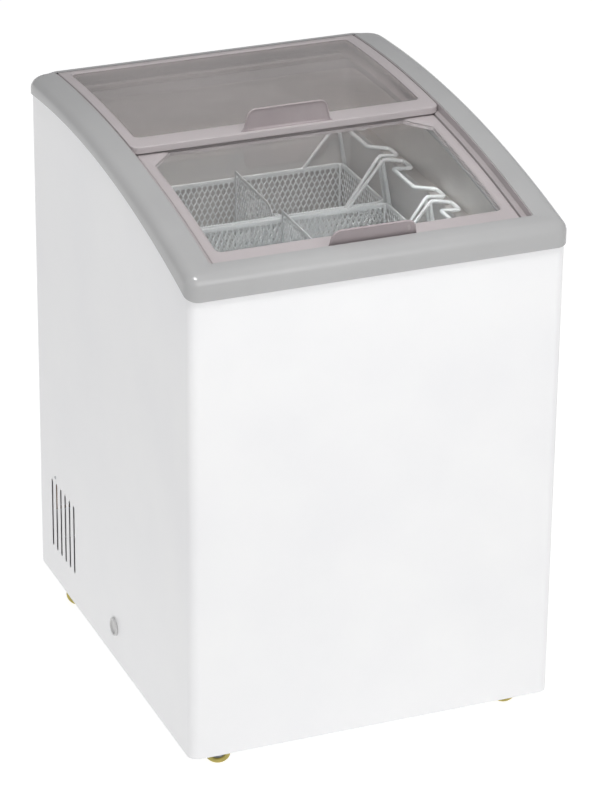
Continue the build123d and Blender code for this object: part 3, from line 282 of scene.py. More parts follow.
def plan_ring(half_x, front, rear, front_round, rear_round, side_steps=36, turn_steps=8):
    """Plan of a rounded rectangle from its front right corner. Its size doesn't change how many
    points it has."""
    corners = [(half_x, front), (half_x, rear), (-half_x, rear), (-half_x, front)]
    rounds = [front_round, rear_round, rear_round, front_round]
    return rounded_line(corners, rounds, side_steps, turn_steps)


def lifted(plan, height):
    """A plan line with a height for every point."""
    return np.column_stack([plan, np.broadcast_to(height, len(plan))])


def on_crown(plan, drop, lower=0.0):
    """A plan line laid on the arc at this drop, or lower than that by a height."""
    return lifted(plan, crown(plan[:, 1], drop) - lower)


print("crown at the front edge:", round(float(crown(-343.0, 0)), 1), "mm")

# %% [markdown]
# Finishes first. The cabinet is steel sheet with white powder coat: it looks flat from afar, and
# close up it has a fine orange peel. The collar, the lid frames and the tracks are moulded or
# extruded plastics, each with its own gloss and a very fine grain from the mould.

# %% Plastic and coated finishes
def coated(name, colour, shade, patch_mm, rough, spread, grain_mm, grain_deep, specular=0.5):
    """A coloured coat or plastic: broad soft patches between colour and shade, roughness that
    varies by the spread, and a bump of grain_mm wide and grain_deep mm tall."""
    made, tree, place = new_finish(name)
    patch = add(tree, "TexNoise", {"Vector": place, "Scale": 1 / (patch_mm * MM), "Detail": 3.0})
    tone = add(tree, "ValToRGB", {"Fac": patch.outputs["Fac"]})
    for element, at, code in zip(tone.color_ramp.elements, (0.3, 0.7), (shade, colour)):
        element.position, element.color = at, linear(code)
    gloss = add(tree, "MapRange", {
        "Value": patch.outputs["Fac"], "To Min": rough - spread, "To Max": rough + spread,
    })
    grain = add(tree, "TexNoise", {"Vector": place, "Scale": 1 / (grain_mm * MM), "Detail": 2.0})
    bump = add(tree, "Bump", {
        "Height": grain.outputs["Fac"], "Strength": 1.0, "Distance": grain_deep * MM,
    })
    shader = add(tree, "BsdfPrincipled", {
        "Base Color": tone.outputs["Color"],
        "Roughness": gloss.outputs["Result"],
        "Normal": bump.outputs["Normal"],
        "Specular IOR Level": specular,
    })
    add(tree, "OutputMaterial", {"Surface": shader.outputs["BSDF"]})
    return made


# Polyester powder coat on steel, cured to a soft gloss with an orange peel of about 2 mm
powder_coat = coated("white_powder_coat", "F2F2F2", "EEEEEF", 160, 0.34, 0.04, 2.2, 0.012)
# ABS, injection moulded and polished: an even grey with a clean reflection
abs_collar = coated("grey_moulded_abs", "AEAEAE", "A9A9A9", 120, 0.2, 0.03, 1.2, 0.004)
# Rigid PVC, extruded and welded: a warmer grey with a satin surface
pvc_frame = coated("warm_grey_pvc", "B8B1B2", "B2ABAC", 90, 0.36, 0.04, 1.0, 0.006)
# The grips' PVC is darker than the frames': painted shade of their scoops, put into the grey
pvc_grip = coated("grip_grey_pvc_painted_shade", "ADA3A5", "A69C9E", 40, 0.26, 0.04, 1.0, 0.006)
pvc_track = coated("grey_extruded_pvc", "A8A1A2", "A19B9C", 60, 0.42, 0.04, 0.9, 0.006)
# Aluminium liner of the tank, with a pale stucco lacquer
lacquered_liner = coated("lacquered_aluminium", "CECBC7", "C3C3C3", 140, 0.30, 0.04, 1.6, 0.01)
# Polyethylene dip coat on steel wire, thick and slightly waxy
dipped_wire = coated("white_dipped_wire", "EEF1F1", "E2E7E8", 30, 0.34, 0.05, 1.5, 0.02)
# Polyurethane, cast on the castors' hubs: an olive yellow, satin, that dust makes uneven
tyre_finish = coated("olive_polyurethane", "C9B85E", "A99C50", 12, 0.42, 0.06, 0.9, 0.02)
# Nylon of the lids' gliders, moulded: milky and smooth
pad_nylon = coated("white_nylon", "DAD8D0", "D0CEC6", 10, 0.4, 0.05, 0.6, 0.01)
# Moulded rubber takes up light and shows hardly any reflection
black_rubber = coated("black_rubber", "232323", "1B1B1B", 12, 0.8, 0.06, 0.7, 0.03, 0.3)
# Black ABS with the fine etched grain of electrical parts
black_abs = coated("black_abs", "262729", "1E1F20", 20, 0.42, 0.05, 0.8, 0.02)
# Polypropylene, moulded: a little greyer and softer than the powder coat round it
drain_white = coated("white_polypropylene", "D5D5D4", "CCCCCB", 16, 0.4, 0.04, 0.8, 0.01)
# Polyurethane foam cast in the walls: yellowish, matt, with open cells
insulation = coated("cast_foam", "E3D9B6", "D3C79E", 8, 0.9, 0.05, 2.0, 0.4, 0.2)
print("coats:", powder_coat.name, abs_collar.name, pvc_frame.name)

# %% Metal finishes
METAL_SPREAD = 0.08


def bare_metal(name, colour, shade, patch_mm, rough, grain_mm, grain_deep):
    """Bare or plated metal: cells that each have one tone between two of the metal's own
    colours, and a fine grain."""
    made, tree, place = new_finish(name)
    patch = add(tree, "TexVoronoi", {"Vector": place, "Scale": 1 / (patch_mm * MM)})
    tone = add(tree, "ValToRGB", {"Fac": patch.outputs["Color"]})
    for element, code in zip(tone.color_ramp.elements, (colour, shade)):
        element.color = linear(code)
    grain = add(tree, "TexNoise", {"Vector": place, "Scale": 1 / (grain_mm * MM), "Detail": 3.0})
    gloss = add(tree, "MapRange", {
        "Value": grain.outputs["Fac"],
        "To Min": rough - METAL_SPREAD,
        "To Max": rough + METAL_SPREAD,
    })
    bump = add(tree, "Bump", {
        "Height": grain.outputs["Fac"], "Strength": 1.0, "Distance": grain_deep * MM,
    })
    shader = add(tree, "BsdfPrincipled", {
        "Base Color": tone.outputs["Color"],
        "Metallic": 1.0,
        "Roughness": gloss.outputs["Result"],
        "Normal": bump.outputs["Normal"],
    })
    add(tree, "OutputMaterial", {"Surface": shader.outputs["BSDF"]})
    return made


# Hot-dip zinc shows spangles of about 9 mm, each a slightly different grey
zinc = bare_metal("galvanised_zinc", "BFC2C4", "ABAFB2", 9, 0.42, 1.5, 0.01)
# Steel with a thin plated coat: fine and even, a little darker than the sheet
plated = bare_metal("plated_steel", "B9BCBE", "9A9DA0", 4, 0.34, 0.8, 0.008)
# The liner above the ledge is rolled aluminium without lacquer
rolled_liner = bare_metal("rolled_aluminium", "E4E1DE", "DCD9D6", 45, 0.46, 1.2, 0.006)
# Drawn copper tube, and steel tube with a thin coat of copper that has turned dull
copper = bare_metal("drawn_copper", "C98F6B", "A8714F", 14, 0.32, 0.9, 0.008)
coated_steel_tube = bare_metal("coppered_steel_tube", "A98C74", "8F745E", 14, 0.4, 0.9, 0.008)
# Baked enamel of the compressor: deep black with a soft gloss
shell_black = coated("black_baked_enamel", "1B1C1E", "141516", 30, 0.3, 0.05, 1.2, 0.01)
# Nylon pile of the brush seal: hairs about 0.5 mm apart, without gloss
brush_pile = coated("grey_brush_pile", "8C8B8C", "6F6E6F", 0.8, 0.95, 0.03, 0.5, 0.2, 0.1)
print("metals:", zinc.name, plated.name, copper.name)

# %% [markdown]
# Glass lets lamp light in as well as sight. A path tracer finds lamps through bent glass only by
# luck, so for shadow rays a Transparent shader with the same tint stands in, and the tank below
# is lit as through a real pane. The rear pane is tinted grey, which makes it darker, and a share
# of diffuse haze on it is painted reflection of the bright studio, which makes it look a little
# hazy. The front one is clear.

# %% Glass
def pane_glass(name, tint, haze_colour, haze, rough):
    """Float glass with its own tint. The haze is a thin diffuse share, uneven over 250 mm."""
    made, tree, place = new_finish(name)
    cloud = add(tree, "TexNoise", {"Vector": place, "Scale": 1 / (250 * MM), "Detail": 1.0})
    gloss = add(tree, "MapRange", {
        "Value": cloud.outputs["Fac"], "To Min": rough * 0.6, "To Max": rough * 1.4,
    })
    clear = add(tree, "BsdfPrincipled", {
        "Base Color": linear(tint),
        "Roughness": gloss.outputs["Result"],
        "IOR": 1.52,
        "Transmission Weight": 1.0,
    })
    veil = add(tree, "BsdfDiffuse", {"Color": linear(haze_colour)})
    share = add(tree, "MapRange", {
        "Value": cloud.outputs["Fac"],
        "From Min": 0.35,
        "From Max": 0.65,
        "To Min": haze * 0.5,
        "To Max": haze * 1.5,
    })
    hazy = add(tree, "MixShader", {
        "Fac": share.outputs["Result"], 1: clear.outputs["BSDF"], 2: veil.outputs["BSDF"],
    })
    thin = add(tree, "BsdfTransparent", {"Color": linear(tint)})
    ray = add(tree, "LightPath")
    both = add(tree, "MixShader", {
        "Fac": ray.outputs["Is Shadow Ray"], 1: hazy.outputs["Shader"], 2: thin.outputs["BSDF"],
    })
    add(tree, "OutputMaterial", {"Surface": both.outputs["Shader"]})
    return made


front_glass = pane_glass("clear_float_glass", "FAFAFA", "BDBCBB", 0.015, 0.01)
# The rear pane's haze share of 0.22 is painted reflection of the bright studio round it
rear_glass = pane_glass("grey_float_glass_painted_reflection", "E2DFDE", "B4AFAE", 0.22, 0.02)
print("glass:", front_glass.name, rear_glass.name)

# %% Finishes on the parts that stay
SLOT_FINISH = {
    "collar_plastic": abs_collar,
    "cabinet_sheet": powder_coat,
    "liner_sheet": lacquered_liner,
    "track_plastic": pvc_track,
    "lid_plastic": pvc_frame,
    "lid_glass": front_glass,
    "glider_nylon": pad_nylon,
    "brush": brush_pile,
    "foam": insulation,
    "zinc_sheet": zinc,
    "compressor_shell": shell_black,
    "rubber": black_rubber,
    "black_plastic": black_abs,
    "copper_tube": copper,
    "coil_tube": coated_steel_tube,
    "drain_plastic": drain_white,
    "basket_wire": dipped_wire,
    "castor_metal": plated,
    "castor_nylon": tyre_finish,
}
for part in nodes.values():
    for index, old in enumerate(part.data.materials):
        part.data.materials[index] = SLOT_FINISH[old.name.split(".")[0]]
nodes["upper_liner"].data.materials[0] = rolled_liner
print(len(SLOT_FINISH) + 1, "finishes on the packed parts")

# %% [markdown]
# The collar is one large moulding that closes the cabinet and carries the lids. Its top follows
# the lids' arc, its shoulder is a wide round, and its lower edge sweeps up towards the rear.
# It is made as a closed section of rings, each a rounded rectangle in plan. A ring's height
# comes from the crown's arc, or from the lower edge's arc, at each point's own y.

# %% Collar
COLLAR_X, COLLAR_Y = 283.0, 343.0
SHOULDER, COLLAR_WALL, SKIN = 16.0, 2.5, 3.0
OPEN_X, OPEN_FRONT, OPEN_REAR = 239.5, -311.0, 335.0
THROAT_X, THROAT_FRONT, THROAT_REAR = 213.0, -293.0, 318.0
SEAT_DROP = 26.5
FRONT_ROUND, REAR_ROUND, LEAST_ROUND = 18.0, 33.0, 3.0
LOW_ROUND, LIP_ROUND, LIP_MIDDLE, THROAT_ROUND = 0.8, 1.2, 0.35, 8.0
SHOULDER_STEPS, INNER_STEPS = 10, 6


def arc_through(low, middle, high):
    """Centre and radius of the circle through three points (y, z), from the two equal-distance
    equations of its centre."""
    rows = 2 * np.array([np.subtract(middle, low), np.subtract(high, low)])
    sides = [np.dot(middle, middle) - np.dot(low, low), np.dot(high, high) - np.dot(low, low)]
    centre = np.linalg.solve(rows, sides)
    return centre, float(np.hypot(*(centre - np.asarray(low))))


LOW_CENTRE, LOW_RADIUS = arc_through((-COLLAR_Y, 735.0), (0.0, 804.0), (COLLAR_Y, 800.0))


def low_edge(y):
    """Height of the collar's lower edge at y."""
    return LOW_CENTRE[1] + np.sqrt(LOW_RADIUS**2 - (y - LOW_CENTRE[0]) ** 2)


def outer_ring(inset):
    """Plan of the collar's outside, smaller all round by the inset."""
    return plan_ring(
        COLLAR_X - inset,
        -COLLAR_Y + inset,
        COLLAR_Y - inset,
        max(FRONT_ROUND - inset, LEAST_ROUND),
        max(REAR_ROUND - inset, LEAST_ROUND),
    )


def opening_ring(grow, drop):
    """Ring round the lid opening, wider all round by grow, at one drop below the crown."""
    ends = OPEN_FRONT - grow, OPEN_REAR + grow
    return on_crown(plan_ring(OPEN_X + grow, *ends, LEAST_ROUND, LEAST_ROUND), drop)


def shoulder_rings(wall, turns):
    """Rings over the wide round between side and top, on its outside or a wall further in."""
    size = SHOULDER - wall
    return [
        on_crown(outer_ring(wall + size * (1 - cos(turn))), wall, size * (1 - sin(turn)))
        for turn in turns
    ]


collar_rings = []
for inset, raise_by in ((COLLAR_WALL, 0.0), (LOW_ROUND, 0.0), (0.0, LOW_ROUND)):
    plan = outer_ring(inset)
    collar_rings.append(lifted(plan, low_edge(plan[:, 1]) + raise_by))
collar_rings += shoulder_rings(0.0, np.linspace(0, pi / 2, SHOULDER_STEPS))
collar_rings += [opening_ring(LIP_ROUND, 0.0), opening_ring(LIP_MIDDLE, LIP_MIDDLE)]
collar_rings += [opening_ring(0.0, LIP_ROUND), opening_ring(0.0, SEAT_DROP)]
throat = plan_ring(THROAT_X, THROAT_FRONT, THROAT_REAR, THROAT_ROUND, THROAT_ROUND)
collar_rings += [on_crown(throat, SEAT_DROP), on_crown(throat, SEAT_DROP + SKIN)]
collar_rings += [opening_ring(SKIN, SEAT_DROP + SKIN), opening_ring(SKIN, COLLAR_WALL)]
collar_rings += shoulder_rings(COLLAR_WALL, np.linspace(pi / 2, 0, INNER_STEPS))

UPPER_X, UPPER_FRONT, UPPER_REAR = 226.0, -292.0, 298.0
SKIRT_TOP, SKIRT_DROP, TANK_CORNER = SEAT_DROP + SKIN, 44.0, 20.0
skirt_rings = []
for inset, drop in ((SKIN, SKIRT_TOP), (SKIN, SKIRT_DROP), (0, SKIRT_DROP), (0, SKIRT_TOP)):
    corner = TANK_CORNER - inset
    plan = plan_ring(UPPER_X - inset, UPPER_FRONT + inset, UPPER_REAR - inset, corner, corner)
    skirt_rings.append(on_crown(plan, drop))

collar_shells = gathered([ringed(collar_rings, True), ringed(skirt_rings, True)])
collar = piece(
    "collar_moulding", collar_shells, abs_collar, "cabinet", ["collar_frame"]
)
print("collar:", len(collar.data.polygons), "faces")

# %% [markdown]
# Each side of the opening holds a track, an extrusion bent to the lids' arc. The rear lid slides
# on its upper shelf and the front lid on the lower floor, so one can pass over the other. Its
# stepped section is one closed outline, carried along the arc.

# %% Tracks
UPPER_SHELF, LOWER_SHELF, TRACK_WALL, TRACK_TOP = 12.0, 25.0, 1.5, 1.0
STEP_X, TRACK_GAP = 230.0, 1.0
track_section = [
    (OPEN_X, TRACK_TOP),
    (OPEN_X, UPPER_SHELF + TRACK_WALL),
    (STEP_X + TRACK_WALL, UPPER_SHELF + TRACK_WALL),
    (STEP_X + TRACK_WALL, SEAT_DROP),
    (THROAT_X, SEAT_DROP),
    (THROAT_X, LOWER_SHELF),
    (STEP_X, LOWER_SHELF),
    (STEP_X, UPPER_SHELF),
    (OPEN_X - TRACK_WALL, UPPER_SHELF),
    (OPEN_X - TRACK_WALL, TRACK_TOP),
]
track_outline = rounded_line(track_section, 0.4, 1, 2)
for side, name in ((-1, "left"), (1, "right")):
    outline = track_outline * (side, 1)
    track_rings = along_arc(outline, OPEN_FRONT + TRACK_GAP, OPEN_REAR - TRACK_GAP, 72)
    piece(
        f"{name}_track_rail", ringed(track_rings), pvc_track, "cabinet",
        [f"{name}_track"], 50,
    )
print("tracks: 2")

# %% [markdown]
# A lid is a bent pane in a plastic frame. The frame's section has rounded outer edges, a bevel
# down to the glass and a groove that grips it. Carried round the window it gives the four bars
# at once. The front lid's window has its rear corners cut off by stiffening gussets, which is
# the same ring with a straight cut in place of an arc.

# %% Lid frames and panes
LID_THICK, GLASS_THICK, GLASS_TOP, GLASS_GRIP = 10.5, 4.0, 2.0, 6.0
LID_EDGE, LID_BEVEL, LID_LOW_EDGE = 2.0, 3.0, 0.6
FRAME_ROUND, FRAME_REAR_ROUND, WINDOW_ROUND = 12.0, 4.0, 9.0
GLASS_PLAY, GLASS_GAP = 0.5, 0.02
LIDS = {
    "rear": {
        "frame": (236.5, 4.0, 332.0), "window": (220.0, 38.0, 316.0), "drop": 0.5,
        "gusset": 0.0, "glass": rear_glass,
    },
    "front": {
        "frame": (228.5, -309.0, 20.0), "window": (213.0, -267.0, 8.0), "drop": 13.5,
        "gusset": 34.0, "glass": front_glass,
    },
}


def frame_ring(lid, inset, drop):
    """Ring of the frame's outside, smaller all round by the inset."""
    half, front, rear = lid["frame"]
    rounds = FRAME_ROUND - inset, FRAME_REAR_ROUND - 0.5 * inset
    plan = plan_ring(half - inset, front + inset, rear - inset, *rounds)
    return on_crown(plan, lid["drop"] + drop)


def window_ring(lid, grow, drop):
    """Ring of the window, wider all round by grow, its rear corners cut where gussets fill them."""
    half, front, rear = lid["window"]
    # A cut corner moves out square to itself, which shortens the cut along both sides
    wide = WINDOW_ROUND + grow
    cut = grow * (2 - 2**0.5) - lid["gusset"] if lid["gusset"] else wide
    plan = plan_ring(half + grow, front - grow, rear + grow, wide, cut)
    return on_crown(plan, lid["drop"] + drop)


def frame_rings(lid):
    """The frame's closed section as rings, each with its inset or growth and its drop: up the
    outside, over the rounded edge and the bevel, into the groove and down to the underside."""
    turns, low = np.linspace(0, pi / 2, 5), GLASS_TOP + GLASS_THICK
    outside = [(LID_LOW_EDGE, LID_THICK), (0.0, LID_THICK - LID_LOW_EDGE)]
    outside += [(LID_EDGE * (1 - cos(turn)), LID_EDGE * (1 - sin(turn))) for turn in turns]
    inside = [
        (LID_BEVEL + 0.8, 0.0), (LID_BEVEL, 0.15), (0.3, GLASS_TOP - 0.2), (0.0, GLASS_TOP),
        (GLASS_GRIP, GLASS_TOP), (GLASS_GRIP, low), (0.0, low), (0.0, LID_THICK),
    ]
    return [frame_ring(lid, *at) for at in outside] + [window_ring(lid, *at) for at in inside]


for place, lid in LIDS.items():
    body = f"{place}_lid"
    surround = piece(
        f"{body}_surround", ringed(frame_rings(lid), True), pvc_frame, body,
        [f"{body}_frame"], 25,
    )
    half, front, rear = lid["window"]
    held = GLASS_GRIP - GLASS_PLAY
    reach, top = half + held, lid["drop"] + GLASS_TOP + GLASS_GAP
    low = top + GLASS_THICK - 2 * GLASS_GAP
    section = [(reach, top), (-reach, top), (-reach, low), (reach, low)]
    pane_rings = along_arc(section, front - held, rear + held, 48)
    piece(f"{body}_pane", ringed(pane_rings), lid["glass"], body, [f"{body}_glass"])
print("lids: frames with", len(surround.data.polygons), "faces each")

# %% [markdown]
# Each lid has a thin upright grip along its front bar. It is a plate with a raised rim round a
# shallow scoop, and its feet flare into the bar. The plate is drawn flat as rings, from the
# scoop's floor out over the rim, round the edge and in again behind, then stood on the arc.

# %% Hand grips
GRIP_HALF_BASE, GRIP_HALF_TOP, GRIP_TALL, GRIP_THICK = 67.0, 60.0, 34.0, 3.0
GRIP_ROUND, GRIP_RIM, GRIP_SCOOP, GRIP_FOOT, GRIP_BACK = 14.0, 3.0, 1.2, 5.0, 5.0


def grip_line(inset, foot_out, low):
    """Outline of the grip, smaller by the inset, its feet spread by foot_out, its base at low."""
    base, top, tall = GRIP_HALF_BASE - inset, GRIP_HALF_TOP - inset, GRIP_TALL - inset
    lean = (base - top) / tall
    side = base - lean * (GRIP_FOOT + inset)
    half = [
        (base + foot_out, low),
        (base + foot_out * 0.5, low + 1.2),
        (side, low + GRIP_FOOT + 1.2),
        (top, tall),
    ]
    corners = half + [(-x, z) for x, z in half[::-1]]
    rounds = [0.0, 0.4, 3.0, GRIP_ROUND - inset]
    return rounded_line(corners, rounds + rounds[::-1], 6, 6)


for place, lid in LIDS.items():
    foot_y = lid["frame"][1] + GRIP_BACK
    lean = asin((foot_y - ARC_Y) / (ARC_RADIUS - lid["drop"]))
    foot_z = float(crown(foot_y, lid["drop"]))
    up_way = np.array([0, sin(lean), cos(lean)])
    out_way = np.array([0, -cos(lean), sin(lean)])
    half_thick = GRIP_THICK / 2
    # Each layer: inset, spread of the feet, height of the base, distance from the plate's middle
    layers = [
        (GRIP_RIM + 1.0, 0.0, GRIP_RIM, half_thick - GRIP_SCOOP),
        (GRIP_RIM, 0.0, GRIP_RIM - 0.6, half_thick - GRIP_SCOOP + 0.2),
        (GRIP_RIM - 1.0, 0.2, GRIP_RIM - 1.4, half_thick - 0.2),
        (GRIP_RIM - 1.5, 0.4, 0.6, half_thick),
        (0.7, 2.0, -0.3, half_thick),
        (0.2, 4.0, -0.5, half_thick - 0.3),
        (0.0, 5.0, -0.6, half_thick - 0.8),
        (0.0, 5.0, -0.6, 0.8 - half_thick),
        (0.2, 4.0, -0.5, 0.3 - half_thick),
        (0.7, 2.0, -0.3, -half_thick),
    ]
    grip_rings = []
    for inset, foot_out, low, out in layers:
        flat = grip_line(inset, foot_out, low)
        spot = np.array([0, foot_y, foot_z]) + out * out_way
        ring = spot + flat[:, :1] * np.array([1.0, 0, 0]) + flat[:, 1:] * up_way
        grip_rings.append(ring)
    piece(
        f"{place}_lid_grip", ringed(grip_rings), pvc_grip, f"{place}_lid", (), 40
    )
print("grips: 2")

# %% [markdown]
# The outer wrap is one sheet of steel, bent round the front and both sides, with its rear edges
# turned in. As a surface it is a bent line in plan, taken up to the height of the collar's tuck.
# Two windows are left out of its grid: the air slots and the drain hole are pressed into the
# sheet there, each slot a set of rings from its own cell's edge, over a low bead, to the hole.

# %% Outer wrap
HALF_X, HALF_Y, FLOOR_GAP = 280.0, 340.0, 28.0
VENT_SPAN, VENT_CELL = (150.0, 270.0), (75.0, 202.0)
PLUG_SPAN, PLUG_CELL = (-35.0, -7.0), (70.0, 94.0)
VENT_WIDE, VENT_TALL, VENT_COUNT = 7.0, 113.0, 6
PLUG_HOLE, TUCK, APART = 16.2, 8.0, 0.01
REAR_BEND, FRONT_BEND, RETURN_X = 30.0, 15.0, 236.0


def bend(centre, radius, start, end, steps=10):
    """Arc in plan from one angle to another in degrees."""
    turn = np.radians(np.linspace(start, end, steps + 1))
    return np.column_stack([centre[0] + radius * np.cos(turn), centre[1] + radius * np.sin(turn)])


def straight(start, end, stops):
    """Points on a straight at these shares of its length."""
    share = np.asarray(stops, float)[:, None]
    return np.asarray(start, float) * (1 - share) + np.asarray(end, float) * share


# The sides have lines at every edge and middle of the cells, so that all points meet
vent_lines = np.linspace(VENT_SPAN[1], VENT_SPAN[0], 2 * VENT_COUNT + 1)
plug_lines = np.linspace(PLUG_SPAN[1], PLUG_SPAN[0], 3)
side_y = np.concatenate([[290.0], vent_lines, [70.0], plug_lines, [-110.0, -220.0]])
front_x = HALF_X - FRONT_BEND
left_half = np.concatenate([
    [(-RETURN_X, HALF_Y)],
    bend((REAR_BEND - HALF_X, HALF_Y - REAR_BEND), REAR_BEND, 90, 180),
    np.column_stack([np.full(len(side_y), -HALF_X), side_y]),
    bend((-front_x, FRONT_BEND - HALF_Y), FRONT_BEND, 180, 270),
])
front_side = straight((-front_x, -HALF_Y), (front_x, -HALF_Y), np.linspace(0, 1, 9)[1:-1])
wrap_plan = np.concatenate([left_half, front_side, left_half[::-1] * (-1, 1)])
wrap_top = low_edge(wrap_plan[:, 1]) + TUCK
vent_middle, plug_middle = sum(VENT_CELL) / 2, sum(PLUG_CELL) / 2
wrap_levels = sorted([FLOOR_GAP, *PLUG_CELL, plug_middle, *VENT_CELL, vent_middle])
wrap_rings = [lifted(wrap_plan, z) for z in wrap_levels]
for share in (0.25, 0.5, 0.75, 1.0):
    wrap_rings.append(lifted(wrap_plan, VENT_CELL[1] + share * (wrap_top - VENT_CELL[1])))
wrap_rings = np.asarray(wrap_rings)
wrap_faces = joined(len(wrap_rings), len(wrap_plan), False, False)
centre = wrap_rings.reshape(-1, 3)[wrap_faces].mean(1)
on_side = np.abs(centre[:, 0]) > HALF_X - 0.1


def in_window(span, cell):
    """Which faces of the sides lie in a window of y and z."""
    y, z = centre[:, 1], centre[:, 2]
    return on_side & (y > span[0]) & (y < span[1]) & (z > cell[0]) & (z < cell[1])


left_out = in_window(VENT_SPAN, VENT_CELL)
left_out |= in_window(PLUG_SPAN, PLUG_CELL) & (centre[:, 0] < 0)
wrap_faces = wrap_faces[~left_out]


def pressed_hole(side, middle, cell, hole, round_by, bead, lip):
    """Rings of a pressed hole in a side wall, from its cell's rectangle, over a bead of this
    height, to the hole's edge and in along its lip. Local a runs along the wrap, b upwards."""
    layers = [(None, 0.0), (2.4, 0.0), (1.7, bead), (0.7, bead), (0.0, 0.0), (0.0, -lip)]
    rings = []
    for grow, out in layers:
        w, h = np.divide(cell, 2) if grow is None else np.divide(hole, 2) + grow
        corners = [(w, -h), (w, h), (-w, h), (-w, -h)]
        a, b = rounded_line(corners, 0.0 if grow is None else round_by + grow, 2, 6).T
        rings.append(np.column_stack([
            np.full(len(a), side * (HALF_X + out)), middle[0] + side * a, middle[1] + b
        ]))
    rings = np.asarray(rings)
    return rings.reshape(-1, 3), joined(*rings.shape[:2], False, True).tolist()


vent_pitch = (VENT_SPAN[1] - VENT_SPAN[0]) / VENT_COUNT
vent_cell, vent_hole = (vent_pitch, VENT_CELL[1] - VENT_CELL[0]), (VENT_WIDE, VENT_TALL)
# A round a hair smaller than half the hole keeps the arcs of its corners apart
vent_round, plug_round = VENT_WIDE / 2 - APART, PLUG_HOLE / 2 - APART
holes = [
    pressed_hole(side, (y, vent_middle), vent_cell, vent_hole, vent_round, 0.5, 0.3)
    for side in (-1, 1)
    for y in vent_lines[-2::-2]
]
plug_cell = (PLUG_SPAN[1] - PLUG_SPAN[0], PLUG_CELL[1] - PLUG_CELL[0])
plug_hole = (PLUG_HOLE, PLUG_HOLE)
holes.append(
    pressed_hole(-1, (plug_lines[1], plug_middle), plug_cell, plug_hole, plug_round, 0.0, 0.6)
)
wrap_sheets = gathered([(wrap_rings.reshape(-1, 3), wrap_faces.tolist()), *holes])
wrap = piece(
    "cabinet_wrap", wrap_sheets, powder_coat, "cabinet", ["outer_wrap"], 30,
    closed=False,
)
sheet = wrap.modifiers.new("steel_sheet", "SOLIDIFY")
sheet.thickness, sheet.offset = 1.0 * MM, -1.0
print("wrap:", len(wrap.data.polygons), "faces,", len(holes), "pressed holes")

# %% [markdown]
# Each basket is expanded steel mesh in a hemmed rim, on a frame of welded wire, all dipped in
# white plastic. The mesh is slit and pulled sheet: tall pointed holes in staggered rows, with
# strands 1.8 mm wide. One cell is a six-sided ring round its hole. All cells come from one
# array of centres, and the flat sheet is then bent round the basket by its length along the wall.

# %% Expanded mesh
MESH_PITCH, MESH_ROW, MESH_STRAND, MESH_SHEET = 8.7, 9.4, 1.8, 1.2
MESH_FLAT, SLIVER = 1.0, 0.02


def expanded_sheet(width, height, wrapped=False):
    """As many cells of expanded mesh as fit evenly over a flat sheet. Every cell is six quads
    between the outer six-sided line (half a pitch to each side, and up to a row less the flat)
    and the hole inside it. Odd rows are shifted by half a pitch. A wrapped sheet has no half
    cells at its ends."""
    columns, rows = round(width / MESH_PITCH), round(height / MESH_ROW)
    pitch, row = width / columns, height / rows
    tip = row - MESH_FLAT
    slope = np.hypot(pitch / 2, tip - MESH_FLAT) / (pitch / 2)
    hole_x, hole_tip = (pitch - MESH_STRAND) / 2, tip - slope * MESH_STRAND / 2
    ring = np.array([(1, -1), (1, 1), (0, 1), (-1, 1), (-1, -1), (0, -1)], float)
    is_tip = ring[:, :1] == 0
    big = ring * np.where(is_tip, (0, tip), (pitch / 2, MESH_FLAT))
    small = ring * np.where(is_tip, (0, hole_tip), (hole_x, MESH_FLAT))
    across = columns if wrapped else columns + 1
    r, c = np.meshgrid(np.arange(rows + 1), np.arange(across), indexing="ij")
    middle = np.stack([(c + 0.5 * (r % 2)) * pitch, r * row], -1).reshape(-1, 1, 2)
    points = np.concatenate([middle + big, middle + small], 1)
    faces = joined(2, 6, False, True)[None] + 12 * np.arange(len(middle))[:, None, None]
    return points.reshape(-1, 2), faces.reshape(-1, 4)


def without_slivers(points, faces):
    """The faces that still have area after their sheet was clipped to its outline: a quad's area
    is half the cross product of its diagonals."""
    a, b, c, d = points[faces].transpose(1, 0, 2)
    return faces[np.linalg.norm(np.cross(c - a, d - b), axis=1) > SLIVER]


def onto_arc(a, b, far_a, far_b, radius):
    """Points of a sheet with one rounded corner, whose sides lie at far_a and far_b. A point past
    the corner's arc is pulled back onto it along the arc's radius."""
    past_a, past_b = a - (far_a - radius), b - (far_b - radius)
    size = np.maximum(np.hypot(past_a, past_b), radius)
    pull = np.where((past_a > 0) & (past_b > 0), radius / size, 1.0)
    return far_a - radius + past_a * pull, far_b - radius + past_b * pull


def walked(outline, along):
    """Places on a closed plan line at these lengths along it."""
    loop = np.vstack([outline, outline[:1]])
    length = np.concatenate([[0], np.cumsum(np.linalg.norm(np.diff(loop, axis=0), axis=1))])
    at = np.mod(along, length[-1])
    return np.column_stack([np.interp(at, length, loop[:, i]) for i in (0, 1)]), length[-1]


print("a cell is", MESH_PITCH, "by", 2 * (MESH_ROW - MESH_FLAT), "mm")

# %% Basket meshes
BASKET_Y = {"rear": 186.0, "middle": 14.0, "front": -158.0}
RIM_X, RIM_Y, RIM_Z, RIM_LOW = 198.0, 84.0, 644.0, 636.0
BASKET_LOW, BASKET_ROUND = 454.0, 13.5
WALL_IN, FLOOR_IN, FLOOR_ROUND, FLOOR_UP = 2.6, 3.2, 12.0, 1.4
MESH_LOW, MESH_HIGH = BASKET_LOW + 2.0, RIM_LOW + 6.0


def basket_ring(middle, inset, steps=1):
    """Plan of a basket, smaller all round by the inset."""
    deep, corner = RIM_Y - inset, BASKET_ROUND - inset
    return plan_ring(RIM_X - inset, -deep, deep, corner, corner, steps) + (0, middle)


